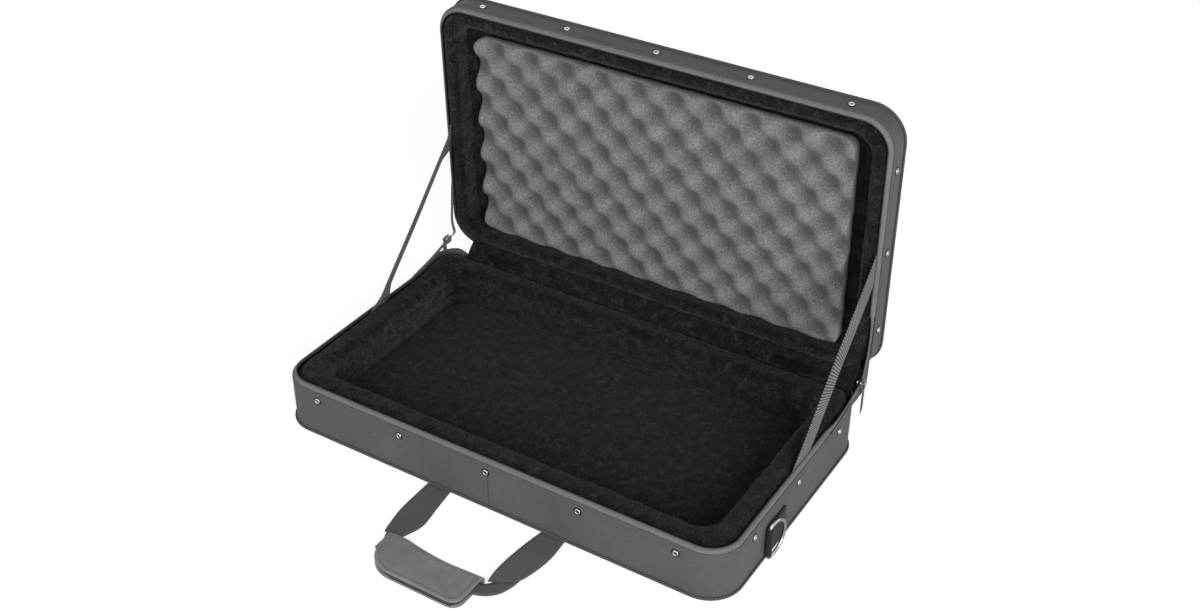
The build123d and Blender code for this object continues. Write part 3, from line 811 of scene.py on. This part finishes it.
def makeEggCrate():
    look = crateLook
    halfX, halfY, mesh = look["halfX"], look["halfY"], look["mesh"]
    pitch, valley, rise = look["pitch"], look["valley"], look["peak"] - look["valley"]
    bm = flatGrid(halfX, halfY, round(2 * halfX / mesh), round(2 * halfY / mesh))
    for vert in bm.verts:
        x, y = roundedCorner(vert.co.x, vert.co.y, halfX, halfY, look["radius"])
        wave = -math.cos(math.pi * x / pitch) * math.cos(math.pi * y / pitch)
        wave = math.copysign(abs(wave) ** 0.85, wave)
        drift = noise.noise(Vector((x, y, 3.0)) / 70.0)
        vert.co.z = valley + rise * (0.5 + 0.5 * wave) * (0.96 + 0.05 * drift)
        vert.co.z += 0.35 * noise.noise(Vector((x, y, 9.0)) / 5.0)
        vert.co.x = x + 0.8 * noise.noise(Vector((x, y, 1.0)) / 24.0)
        vert.co.y = y + look["shiftY"] + 0.8 * noise.noise(Vector((x, y, 5.0)) / 24.0)
    # painted shade: each point is marked darker the deeper it lies in the foam's valleys
    pitShade = bm.verts.layers.float.new("pitShade")
    for vert in bm.verts:
        vert[pitShade] = fraction(look["peak"] - vert.co.z, 0.0, rise) ** 2.2
    rim = [e for e in bm.edges if e.is_boundary]
    for share in (0.5, 0.0):
        rim, verts = extrudeRim(bm, rim)
        for vert in verts:
            vert.co.z = look["low"] + (vert.co.z - look["low"]) * share
    bmesh.ops.contextual_create(bm, geom=rim)
    piece = finishPiece(bm, "lidEggCratePad", "eggFoam", "lid",
                        ["lid_egg_crate_foam"], True)


makeEggCrate()
print("egg crate foam made")


# ---- cloth between base and lid

hingeLook = {
    "cloth": {"inset": 1.9, "base": 78.5, "lid": 36.5, "elbow": (17.0, -20.0),
              "lastAngles": (80.0, 3.0), "thick": 1.3},
    "lining": {"inset": 11.0, "base": 82.5, "lid": 40.5, "elbow": (12.0, -14.0),
               "lastAngles": (80.0, 8.0), "thick": 2.6},
    "slot": (255.0, 36.0), "slotDepth": 2.6,
}


def hingeLay(shape, bulge):
    # the strip runs along the rear and on round both corners; it spans from the base's edge to the lid's
    radius, place = case["corner"] - shape["inset"], lidPlacement()
    ends = [coreX + radius * math.radians(90 - angle) for angle in shape["lastAngles"]]
    half = sum(ends) / 2

    def lay(s, t):
        along = t * 2 * half + (ends[1] - ends[0]) / 2
        angle = math.pi / 2 - max(0.0, abs(along) - coreX) / radius
        x = math.copysign(min(abs(along), coreX) + radius * math.cos(angle), along)
        y = coreY + radius * math.sin(angle)
        low, high = Vector((x, y, shape["base"])), place @ Vector((x, y, shape["lid"]))
        away = 1 - math.sin(angle)
        elbow = (low + high) / 2 + Vector((0, *shape["elbow"])) * away
        spot = low * (1 - s) ** 2 + elbow * 2 * s * (1 - s) + high * s ** 2
        return spot + Vector((0, -0.7, 0.7)) * bulge(s, along)

    return lay, half


def makeHinge():
    look = hingeLook
    lay, half = hingeLay(look["cloth"], lambda s, x: 0.4 * math.sin(x / 7.0) * math.sin(math.pi * s))
    bm = bmesh.new()
    makeStrip(bm, 14, 200, lay, 60.0, 2 * half)
    area = sum(f.calc_area() for f in bm.faces)
    piece = finishPiece(bm, "hingeClothBand", "cover", None, ["hinge_cloth"], outward=False)
    settle(thicken(piece, look["cloth"]["thick"]))
    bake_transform(piece, "base", "lid", start=(0, 0.2045, 0.083), end=(0, 0.2225, 0.0975))
    slotPlace, slotHalf = look["slot"]

    def swell(s, x):
        slot = math.exp(-((abs(x) - slotPlace) / slotHalf) ** 6) * math.exp(-((s - 0.5) / 0.22) ** 4)
        soft = 1.4 * math.sin(math.pi * s) + 0.8 * noise.noise(Vector((x / 12.0, s * 3, 0)))
        return soft - look["slotDepth"] * slot

    lay, half = hingeLay(look["lining"], swell)
    bm = bmesh.new()
    makeStrip(bm, 14, 230, lay, 60.0, 2 * half)
    bmesh.ops.solidify(bm, geom=bm.faces[:], thickness=look["lining"]["thick"])
    faceOutward(bm)
    raiseNap(bm, [f for f in bm.faces if f.normal.y < -0.1 and f.normal.z > -0.2], 1.2, 0.9, 21)
    # painted shade: the plush in the recessed slots is marked darker
    layer = bm.verts.layers.float["napShade"]
    for vert in bm.verts:
        if abs(abs(vert.co.x) - slotPlace) < slotHalf - 2 and 0.3 < (vert.co.z - 82.5) / 18.0 < 0.68:
            vert[layer] = -0.6
    piece = finishPiece(bm, "hingePlushStrip", "plush", None, ["hinge_lining"])
    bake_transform(piece, "base", "lid", start=(0, 0.2025, 0.083), end=(0, 0.222, 0.1015))


makeHinge()

zipEndLook = {
    "side": 365.4, "lean": 3.4, "band": 5.2, "thick": 1.3,
    "outer": [(98, 80.2), (150, 80.2), (190, 80.3), (211, 81.5), (222, 90), (224.8, 99), (224.8, 120),
              (223.6, 170), (221.4, 212)],
    "inner": [(98, 84.9), (128, 87.0), (156, 92.5), (176, 98.2), (190, 102.0), (200.2, 105.8), (206.0, 112.0),
              (209.5, 124), (213.5, 143), (216.0, 168), (217.0, 212)],
}


def makeZipEnd(hand, sign):
    # past the straight tapes the cloth rises to where both halves meet at the slider's rest
    look = zipEndLook
    outer = smoothPath([(0, y, z) for y, z in look["outer"]], 2)
    inner = smoothPath([(0, y, z) for y, z in look["inner"]], 2)

    def spotAt(s, share):
        a, b = pathPlace(outer, s)[0], pathPlace(inner, s)[0]
        edge = b + (a - b) * min(1.0, look["band"] / max(0.1, (a - b).length))
        spot = edge.lerp(b, share) if share >= 0 else edge.lerp(a, -share)
        lean = look["lean"] * (2 * abs(s - 0.5)) ** 6 * max(0.0, share)
        if sign < 0 and spot.z > 106:
            height = fraction(144.0, spot.z, 46.0)
            tuck = look["side"] - coreX - 45.4 * math.sqrt(1 - height * height)
            lean += tuck * fraction(spot.z, 106.0, 12.0)
        return Vector((sign * (look["side"] - lean), spot.y, spot.z))

    pieces = []
    layers = [("zipEndTape", "tape", "zip_tape", (0.0, 1.0), ["zip_end_" + hand.lower()])]
    if sign > 0:
        layers.append(("zipEndCloth", "cover", "cover_cloth", (-1.0, 0.0), []))
    for name, finish, slotName, shares, nodes in layers:
        bm = bmesh.new()
        makeStrip(bm, 70, 5, lambda s, t: spotAt(s, shares[0] + (t + 0.5) * (shares[1] - shares[0])),
                  pathLength(inner), 5.2)
        if sign > 0:
            bmesh.ops.reverse_faces(bm, faces=bm.faces)
        piece = finishPiece(bm, name + hand, finish, None, nodes, outward=False)
        settle(thicken(piece, look["thick"]))
        pieces.append(piece)
    bm = bmesh.new()
    count = round(pathLength(inner) / tapeLook["toothPitch"])
    for k in range(count + 1):
        s = k / count
        spot, ahead = spotAt(s, 1.12), spotAt(min(1.0, s + 0.01), 1.12) - spotAt(max(0.0, s - 0.01), 1.12)
        addStitch(bm, spot, Vector((1, 0, 0)), ahead, 2.3, 1.7)
    pieces.append(finishPiece(bm, "zipEndCoil" + hand, "coil", None))
    for piece in pieces:
        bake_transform(piece, "base", "lid", start=(0, 0.196, 0.088), end=(0, 0.222, 0.112))


stayLook = {"side": 360.4, "thick": 1.1, "width": 38.0, "twist": 24.0,
            # each end's middle, then where its edge starts and how far the edge runs, in y and z
            "foot": ((9.0, 74.0), (-17.4, 74.0), (52.8, 0.0)),
            "head": ((224.2, 296.8), (225.1, 323.2), (-1.8, -52.7))}


def makeStay(hand, sign):
    look = stayLook
    ends = [(Vector((0, *middle)), Vector((0, *edge)), Vector((0, *run)))
            for middle, edge, run in (look["foot"], look["head"])]
    low, high = ends[0][0], ends[1][0]

    def lay(s, t):
        # the ends are cut level with the tray walls that they are sewn to; the left one twists between them
        foot, head = (edge + run * (t + 0.5) for _, edge, run in ends)
        spot = foot.lerp(head, s)
        bow = 0.35 * math.sin(math.pi * s * 3)
        if sign < 0:
            middle = low.lerp(high, s)
            turn = math.radians(look["twist"]) * min(1.0, math.sin(math.pi * s) / 0.35)
            spot = middle + (spot - middle) * math.cos(turn)
            bow += t * look["width"] * math.sin(turn)
        return Vector((sign * (look["side"] + bow), spot.y, spot.z))

    bm = bmesh.new()
    makeStrip(bm, 60, 6, lay, (high - low).length, look["width"])
    piece = finishPiece(bm, "lidStay" + hand, "stay", None, ["stay_" + hand.lower()],
                        outward=False)
    settle(thicken(piece, look["thick"]))
    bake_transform(piece, "base", "lid", start=(0, 0.012, 0.08), end=(0, 0.222, 0.292))


for hand, sign in hands:
    makeZipEnd(hand, sign)
    makeStay(hand, sign)
print("hinge, zip ends and stays made")


# ---- strap rings and pulls

ringTabLook = {"barX": 375.0, "barY": -97.0, "sleeve": 3.7, "low": 10.6, "high": 57.4, "end": -42.5,
               "wall": 368.9, "front": 371.0, "thick": 1.3}


def makeRingTab(hand, sign):
    look = ringTabLook
    front, wall, end, barY = look["front"], look["wall"], look["end"], look["barY"]
    low, high, sleeve = look["low"], look["high"], look["sleeve"]
    turns = [math.radians(125 - k * 270 / 12) for k in range(13)]
    path = [(front, end), (front, -70.0), (front, barY + 6.0)]
    path += [(look["barX"] + sleeve * math.cos(turn), barY + sleeve * math.sin(turn)) for turn in turns]
    path += [(wall, barY + 1.0), (wall, -70.0), (wall, end)]
    path = smoothPath([(x, y, 0) for x, y in path], 1)

    def lay(s, t):
        spot, _ = pathPlace(path, s)
        waist = 1 - 0.03 * math.sin(math.pi * s)
        return Vector((sign * spot.x, spot.y, (low + high) / 2 + t * (high - low) * waist))

    bm = bmesh.new()
    makeStrip(bm, 90, 8, lay, pathLength(path), high - low)
    if sign < 0:
        bmesh.ops.reverse_faces(bm, faces=bm.faces)
    piece = finishPiece(bm, "ringTab" + hand, "darkWebbing", "base",
                        ["d_ring_tab_" + hand.lower()], outward=False)
    thicken(piece, look["thick"])
    # stitches hold the tab to the wall
    bm = bmesh.new()
    x = sign * (front + 0.75)
    stitchBox(bm, [(x, -46, 14), (x, -84, 14), (x, -84, 54), (x, -46, 54)], Vector((sign, 0, 0)))
    finishPiece(bm, "ringTabStitch" + hand, "thread", "base")


pullLook = {"middle": 371.7, "y": 200.24, "top": 95.7, "low": 53.9, "width": 9.0, "thick": 2.4, "point": 7.0}


def makePullTab(hand, sign):
    look = pullLook
    middle, y, low, top, thick = sign * look["middle"], look["y"], look["low"], look["top"], look["thick"]

    def lay(s, t):
        height, half = low + s * (top - low), look["width"] / 2
        toEnd = height - low
        if toEnd < look["point"]:    # rounded point at the free end
            half *= math.sqrt(max(0.02, 1 - (1 - toEnd / look["point"]) ** 2)) * 0.98
        if s > 0.9:
            half *= 1 - 1.6 * (s - 0.9)
        return Vector((middle, y + 2 * t * half, height))

    bm = bmesh.new()
    makeStrip(bm, 30, 8, lay, top - low, look["width"])
    if sign < 0:
        bmesh.ops.reverse_faces(bm, faces=bm.faces)
    bmesh.ops.solidify(bm, geom=bm.faces[:], thickness=thick)
    bmesh.ops.recalc_face_normals(bm, faces=bm.faces)
    centre = sum((v.co.x for v in bm.verts)) / len(bm.verts)
    for vert in bm.verts:   # centred on the pin, thinner at its rim
        side = 1 if vert.co.x > centre else -1
        off = abs(vert.co.y - y) / (look["width"] / 2)
        ends = min(1.0, (vert.co.z - low) / 3.0, (top - vert.co.z) / 3.0 + 0.3)
        full = (1 - 0.45 * off ** 4) * (0.5 + 0.5 * max(0.0, ends))
        vert.co.x = middle + side * thick / 2 * full
    piece = finishPiece(bm, "pullTabCloth" + hand, "pull", "pull_" + hand.lower(),
                        ["pull_tab_" + hand.lower()])
    soften(piece)
    bm = bmesh.new()
    for face in (-1, 1):
        x = middle + face * (thick / 2 + 0.02)
        for aside in (-2.9, 2.9):
            stitchLine(bm, (x, y + aside, low + 6), (x, y + aside, top - 3), Vector((face, 0, 0)), 2.8)
    finishPiece(bm, "pullTabStitch" + hand, "thread", "pull_" + hand.lower())


for hand, sign in hands:
    makeRingTab(hand, sign)
    makePullTab(hand, sign)
print("ring tabs and pulls made")


# ---- carrying handles

handleLook = {
    "thick": 1.9,
    # each row: the outer edge's point, then the inner edge's
    "leftLeg": [(-100, -213.9, 1.5, -62, -213.9, 1.5), (-99.5, -246, 1.7, -57, -246, 2.6),
                (-98, -277, 2.2, -52, -272, 4.0), (-93, -301, 4.0, -49, -296, 7.0),
                (-85, -327, 8.6, -57.5, -328, 9.6)],
    "leftTail": [((-72, -316, 5.4), 22), ((-70, -330, 7.0), 20), ((-62, -346, 7.8), 18),
                 ((-45, -351, 7.8), 18), ((-25, -351, 7.8), 18)],
    "rightLeg": [(128, -213.9, 1.5, 90, -213.9, 1.5), (130, -245, 1.8, 86, -245, 3.0),
                 (128, -272, 2.8, 84.5, -282, 6.4), (124, -298, 5.4, 86, -312, 9.6),
                 (120, -313, 8.0, 89.0, -333, 10.0)],
    "rightTail": [((108, -298, 3.0), 24), ((107.5, -318, 4.6), 23), ((102, -337, 6.4), 22),
                  ((88, -349.5, 8.0), 21), ((64, -352, 7.8), 21), ((20, -352, 7.8), 21)],
}


def alongRows(rows, s):
    # a smooth value between table rows
    place = s * (len(rows) - 1)
    k = min(len(rows) - 2, int(place))
    share = place - k
    before, after = rows[max(0, k - 1)], rows[min(len(rows) - 1, k + 2)]
    values = []
    for p, a, b, n in zip(before, rows[k], rows[k + 1], after):
        values.append(0.5 * (2 * a + (b - p) * share + (2 * p - 5 * a + 4 * b - n) * share ** 2
                             + (3 * a - p - 3 * b + n) * share ** 3))
    return values


def layBand(rows):
    # rows are (centre, width); the band stays level and turns in plan
    table = [(*centre, width) for centre, width in rows]

    def lay(s, t):
        x, y, z, width = alongRows(table, s)
        ahead, behind = alongRows(table, min(1.0, s + 0.02)), alongRows(table, max(0.0, s - 0.02))
        side = Vector((behind[1] - ahead[1], ahead[0] - behind[0], 0)).normalized()
        return Vector((x, y, z)) + side * t * width

    return lay


def makeHandle():
    look = handleLook
    bm = bmesh.new()
    for rows in (look["leftLeg"], look["rightLeg"]):
        def lay(s, t, rows=rows):
            values = alongRows(rows, s)
            outer, inner = Vector(values[:3]), Vector(values[3:])
            return outer.lerp(inner, t + 0.5) - Vector((0, 0, 1.2 * math.sin(math.pi * (t + 0.5)) * s))
        makeStrip(bm, 60, 8, lay, 112.0, 38.0)
    for rows, length in ((look["leftTail"], 75.0), (look["rightTail"], 190.0)):
        makeStrip(bm, 60, 6, layBand(rows), length, 24.0)
    facingAway(bm, 1)
    piece = finishPiece(bm, "handleStrap", "webbing", "handle", ["handle_webbing"], outward=False)
    thicken(piece, look["thick"])
    makeAnchors("base", -209.9, -213.4)


anchorLook = {"centres": (-81.0, 109.0), "width": 37.4, "level": 1.4, "thick": 1.6}


def makeAnchors(side, near, far):
    # webbing ends sewn under the piping
    look = anchorLook
    bm = bmesh.new()
    for centre in look["centres"]:
        makeStrip(bm, 3, 8,
                  lambda s, t: Vector((centre + t * look["width"], near + s * (far - near), look["level"])),
                  abs(far - near), look["width"])
    facingAway(bm, 1)
    thicken(finishTray(bm, side, "HandleAnchors", "webbing", "handle_tabs", False), look["thick"])


wrapLook = {"left": -73.5, "right": 83.0, "free": -393.5, "fold": -337.5, "corners": (46.0, 17.0),
            "thick": 5.0, "lower": 2.8, "middle": 7.8, "flap": 12.8, "foldRadius": 5.0, "foldThick": 4.2,
            "stitch": 6.0, "mesh": 2.2}
gripStrips = {"size": (70, 11.5), "place": (2.0, -380.9), "cornerGap": 5,
              # the napped level, then the sewn one
              "hook": ("handle", 7.4, 5.35), "loop": ("wrap_flap", 8.2, 10.4)}


def wrapSag(x, y):
    # the folded edge is not quite straight
    share = max(0.0, 1 - (wrapLook["fold"] - y) / 45.0)
    return share * (5.0 * math.exp(-((x + 56) / 30.0) ** 2) - 3.0 * math.exp(-((x - 28) / 40.0) ** 2))


def makePad(name, middle, body, node):
    look = wrapLook
    width, depth, thick = look["right"] - look["left"], look["fold"] - look["free"], look["thick"]
    centreX, centreY = (look["left"] + look["right"]) / 2, (look["free"] + look["fold"]) / 2
    bm = flatGrid(width / 2, depth / 2, round(width / look["mesh"]), round(depth / look["mesh"]))
    for vert in bm.verts:
        if vert.co.y < 0:
            vert.co.x, vert.co.y = roundedCorner(vert.co.x, vert.co.y, width / 2, depth / 2,
                                                 look["corners"][vert.co.x > 0])
    bmesh.ops.solidify(bm, geom=bm.faces[:], thickness=thick)
    bmesh.ops.recalc_face_normals(bm, faces=bm.faces)
    heights = [v.co.z for v in bm.verts]
    half = (max(heights) + min(heights)) / 2
    facing = 1 if middle < look["middle"] else -1    # the two pads' rims meet where they face each other
    for vert in bm.verts:
        side = 1 if vert.co.z > half else -1
        x, y = vert.co.x, vert.co.y
        corner = look["corners"][x > 0]
        dx, dy = abs(x) - (width / 2 - corner), -y - (depth / 2 - corner)
        if dx > 0 and dy > 0:
            rim = corner - math.hypot(dx, dy)
        else:
            rim = min(width / 2 - abs(x), depth / 2 + y)
        roll = math.sqrt(max(0.0, 1 - (1 - min(1.0, rim / 2.6)) ** 2))
        dent = 0.28 * math.exp(-((rim - look["stitch"]) / 1.5) ** 2)
        crown = 0.78 + 0.14 * roll + 0.08 * fraction(rim, look["stitch"], 8.0)
        full = max(0.12, roll) * (crown - dent)
        crease = 0.25 * noise.noise(Vector((x, y, 2.0 * side)) / 22.0)
        vert.co.z = middle + side * thick / 2 * full + crease
        if side == facing:
            vert.co.z += facing * 2.6 * math.exp(-(rim / 2.4) ** 2) * roll
        vert.co.x += centreX
        vert.co.y += centreY
        vert.co.y += wrapSag(vert.co.x, vert.co.y)
    piece = finishPiece(bm, name, "grip", body, [node])
    soften(piece)


def makePadStitches(name, middle, body):
    # stitches set in from the free edges
    look, up = wrapLook, Vector((0, 0, 1))
    inset, z = look["stitch"], middle + look["thick"] / 2 * 0.82
    left, right, free = look["left"] + inset, look["right"] - inset, look["free"] + inset
    bends = [corner - inset for corner in look["corners"]]
    starts = (left + bends[0], right - bends[1])
    bm = bmesh.new()
    for x, bend in zip((left, right), bends):
        stitchLine(bm, (x, look["fold"] - 1.0, z), (x, free + bend, z), up)
    stitchLine(bm, (starts[0], free, z), (starts[1], free, z), up)
    for x, turn, bend in zip(starts, (math.pi, 1.5 * math.pi), bends):
        count = round(bend * math.pi / 2 / stitchPitch)
        for k in range(count):
            angle = turn + (k + 0.5) * math.pi / 2 / count
            spot = Vector((x + bend * math.cos(angle), free + bend + bend * math.sin(angle), z))
            addStitch(bm, spot, Vector((-math.sin(angle), math.cos(angle), 0)), up)
    for vert in bm.verts:
        vert.co.y += wrapSag(vert.co.x, vert.co.y)
    finishPiece(bm, name, "coil", body)


def makeGripStrip(kind):
    body, napped, sewn = gripStrips[kind]
    bm = flatGrid(*gripStrips["size"], 90, 16)
    bmesh.ops.translate(bm, vec=(*gripStrips["place"], napped), verts=bm.verts)
    faces = bm.faces[:]
    closeRim(bm, sewn)
    corner = wrapLook["corners"][0]
    reach = corner - gripStrips["cornerGap"]
    centre = Vector((wrapLook["left"] + corner, wrapLook["free"] + corner))
    for vert in bm.verts:
        away = vert.co.xy - centre
        if away.x < 0 and away.y < 0 and away.length > reach:
            vert.co.xy = centre + away * reach / away.length
    faceOutward(bm)
    raiseNap(bm, faces, -0.3, 0.3, 31)
    finishPiece(bm, kind + "Patch", kind, body, ["wrap_" + kind + "_strip"])


def makeWrap():
    look, radius = wrapLook, wrapLook["foldRadius"]
    makePad("wrapUnder", look["lower"], "handle", "wrap_lower")
    makePad("wrapOver", look["flap"], "wrap_flap", "wrap_flap")
    makePadStitches("wrapUnderStitch", look["lower"], "handle")
    makePadStitches("wrapOverStitch", look["flap"], "wrap_flap")
    width = look["right"] - look["left"]

    def layFold(s, t):
        # the fold joins the two pads
        angle = math.radians(-90 + 180 * s)
        x = (look["left"] + look["right"]) / 2 + t * width
        y = look["fold"] + radius * math.cos(angle) + wrapSag(x, look["fold"])
        return Vector((x, y, look["middle"] + radius * math.sin(angle)))

    bm = bmesh.new()
    makeStrip(bm, 16, 60, layFold, 16.0, width)
    piece = finishPiece(bm, "wrapFoldCloth", "grip", None, ["wrap_fold"], outward=False)
    settle(thicken(piece, look["foldThick"]))
    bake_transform(piece, "handle", "wrap_flap", start=(0, -0.3389, 0.0033), end=(0, -0.3389, 0.0123))
    makeGripStrip("hook")
    makeGripStrip("loop")


lidHandleLook = {"left": -81.0, "right": 109.0, "width": 37.6, "top": -207.0, "low": -63.4, "level": -1.2,
                 "thick": 1.9, "stitchRun": (-34, -4), "stitchHalf": 15}


def makeLidHandle():
    # the loop lies flat on the lid's outer face
    look = lidHandleLook
    left, right, width, level = look["left"], look["right"], look["width"], look["level"]
    top, low = look["top"], look["low"]
    bm = bmesh.new()
    for centre in (left, right):
        makeStrip(bm, 50, 8, lambda s, t: Vector((
            centre + t * width + 1.2 * math.sin(math.pi * s), top + s * (low - top),
            level + 0.35 * math.sin(3 * math.pi * s))), low - top, width)
    bar, start, end = low - width / 2, left + width / 2 - 0.5, right - width / 2 + 0.5
    makeStrip(bm, 50, 8, lambda s, t: Vector((start + s * (end - start), bar + t * width,
                                              level + 0.3 * math.sin(4 * math.pi * s))), end - start, width)
    facingAway(bm, -1)
    piece = finishPiece(bm, "lidHandleStrap", "webbing", "lid_handle",
                        ["lid_handle_webbing"], True, outward=False)
    thicken(piece, look["thick"])
    bm = bmesh.new()
    z, (far, near), half = level - look["thick"] / 2 - 0.1, look["stitchRun"], look["stitchHalf"]
    for centre in (left, right):
        ends = ((-half, far), (half, far), (half, near), (-half, near))
        stitchBox(bm, [Vector((centre + x, low + y, z)) for x, y in ends], Vector((0, 0, -1)))
    finishPiece(bm, "lidHandleStitch", "thread", "lid_handle", onLid=True)
    makeAnchors("lid", -205.0, -208.0)


makeHandle()
makeWrap()
makeLidHandle()
print("handle and wrap made")

eyeletLook = {"pitchX": 148.0, "pitchY": 130.0, "drop": 15.0, "sides": 20,
              "ring": [(4.75, 0.5), (4.7, 1.0), (4.2, 1.65), (3.4, 2.0), (2.7, 1.85), (2.25, 1.3),
                       (2.1, 0.75)],
              "cup": [(2.1, 0.75), (1.7, 0.35), (0.9, 0.45), (0.0, 0.9)]}


def makeEyelets(side):
    look = eyeletLook
    level = trayParts[side]["height"] - look["drop"]
    seats = [(k * look["pitchX"], s * case["halfWidth"], 0.0 if s > 0 else math.pi)
             for k in range(-2, 3) for s in (-1, 1)]
    seats += [(s * case["halfLength"], k * look["pitchY"], -s * math.pi / 2)
              for k in (-1, 0, 1) for s in (-1, 1)]
    for part, slotName, finish, nodes in (("ring", "chrome", "chrome", [side + "_rivets"]),
                                          ("cup", "dark_washer", "darkWasher", ())):
        one = bmesh.new()
        points = [one.verts.new((r, 0, z)) for r, z in look[part]]
        edges = [one.edges.new(pair) for pair in zip(points, points[1:])]
        bmesh.ops.spin(one, geom=points + edges, cent=(0, 0, 0), axis=(0, 0, 1), dvec=(0, 0, 0),
                       angle=math.tau, steps=look["sides"], use_merge=True, use_duplicate=False)
        bmesh.ops.remove_doubles(one, verts=one.verts, dist=0.001)
        bmesh.ops.recalc_face_normals(one, faces=one.faces)
        if sum(f.normal.z * f.calc_area() for f in one.faces) < 0:
            bmesh.ops.reverse_faces(one, faces=one.faces)
        shape = meshFrom(one, "eyelet")
        bm = bmesh.new()
        for x, y, turn in seats:
            known = len(bm.verts)
            bm.from_mesh(shape)
            bm.verts.ensure_lookup_table()
            turned = Matrix.Rotation(turn, 4, "Z") @ Matrix.Rotation(-math.pi / 2, 4, "X")
            bmesh.ops.transform(bm, matrix=Matrix.Translation((x, y, level)) @ turned, verts=bm.verts[known:])
        bpy.data.meshes.remove(shape)
        finishPiece(bm, side + "Eyelet" + part.capitalize(), finish, side, nodes, side == "lid",
                    outward=False)


for side in trayParts:
    makeEyelets(side)

# ---- finishes for the parts that keep their own shape

keptFinishes = {
    "chrome": ["slider_left", "slider_right", "pull_link_left",
               "pull_link_right", "d_ring_left", "d_ring_right"],
    "darkWasher": ["base_washers", "lid_washers"],
    "board": ["base_board", "lid_board"],
    "framePlastic": ["base_rim_frame", "lid_rim_frame"],
    "rigidFoam": ["base_wall_foam", "lid_wall_foam", "base_floor_foam"],
}
for finish, names in keptFinishes.items():
    for name in names:
        kept = frame["nodes"][name]
        kept.data.materials.clear()
        kept.data.materials.append(materials[finish])
print("kept parts finished")

# ---- camera, light and floor

cameraData = bpy.data.cameras.new("camera")
camera = addObject("camera", cameraData)
cameraData.lens, cameraData.sensor_width = 46.2, 36.0
cameraData.clip_start, cameraData.clip_end = 0.05, 50.0
right = Vector((0.84938, 0.52772, 0.00856))
down = Vector((0.29971, -0.46891, -0.83084))
forward = Vector((-0.43443, 0.70826, -0.55644))
facing = Matrix((right, -down, -forward)).transposed().to_4x4()
camera.matrix_world = Matrix.Translation((0.9711, -1.5004, 1.4162)) @ facing
bpy.context.scene.camera = camera

studioLook = {
    "floor": 12.0, "floorTone": (0.93, 0.93, 0.93, 1), "floorLift": 0.68, "around": 0.58, "overhead": 0.47,
    "lampSize": 2.2, "aim": (0, 0, 0.15),
    "lamps": {"keyLamp": ((2.8, -2.0, 1.6), 78.0), "fillLamp": ((-1.2, -3.0, 1.5), 24.0)},
}
floor = addObject("floor", meshFrom(flatGrid(studioLook["floor"], studioLook["floor"], 1, 1), "floor"))
material, tree = startMaterial("paleFloor")
# what the camera sees of the floor is lifted to white; the object's shadow stays
lift = calc(tree, "MULTIPLY", addNode(tree, "LightPath").outputs["Is Camera Ray"], studioLook["floorLift"])
setInputs(tree, tree.nodes["Principled BSDF"], {
    "Base Color": studioLook["floorTone"], "Roughness": 0.9, "Specular IOR Level": 0.1,
    "Emission Color": (1, 1, 1, 1), "Emission Strength": lift})
floor.data.materials.append(material)

world = bpy.data.worlds.new("studio")
bpy.context.scene.world = world
world.use_nodes = True
tree = world.node_tree
light = addNode(tree, "LightPath")
seen = calc(tree, "MAXIMUM", light.outputs["Is Camera Ray"], light.outputs["Is Glossy Ray"])
seen = calc(tree, "MAXIMUM", seen, light.outputs["Is Transmission Ray"])
# light from overhead is weaker than light from the sides
rise = addNode(tree, "SeparateXYZ", {0: addNode(tree, "TexCoord").outputs["Generated"]}).outputs[2]
fall = calc(tree, "MULTIPLY", calc(tree, "MAXIMUM", rise, 0.0), studioLook["overhead"])
strength = calc(tree, "MAXIMUM", seen, calc(tree, "SUBTRACT", studioLook["around"], fall))
setInputs(tree, tree.nodes["Background"], {"Color": (1, 1, 1, 1), "Strength": strength})

for name, (place, power) in studioLook["lamps"].items():
    lampData = bpy.data.lights.new(name, "AREA")
    lampData.energy, lampData.size = power, studioLook["lampSize"]
    lamp = addObject(name, lampData)
    lamp.location = place
    aim = Vector(studioLook["aim"]) - Vector(place)
    lamp.rotation_euler = aim.to_track_quat("-Z", "Y").to_euler()

bpy.context.scene.view_settings.view_transform = "Standard"
print("camera, lamps and floor placed")
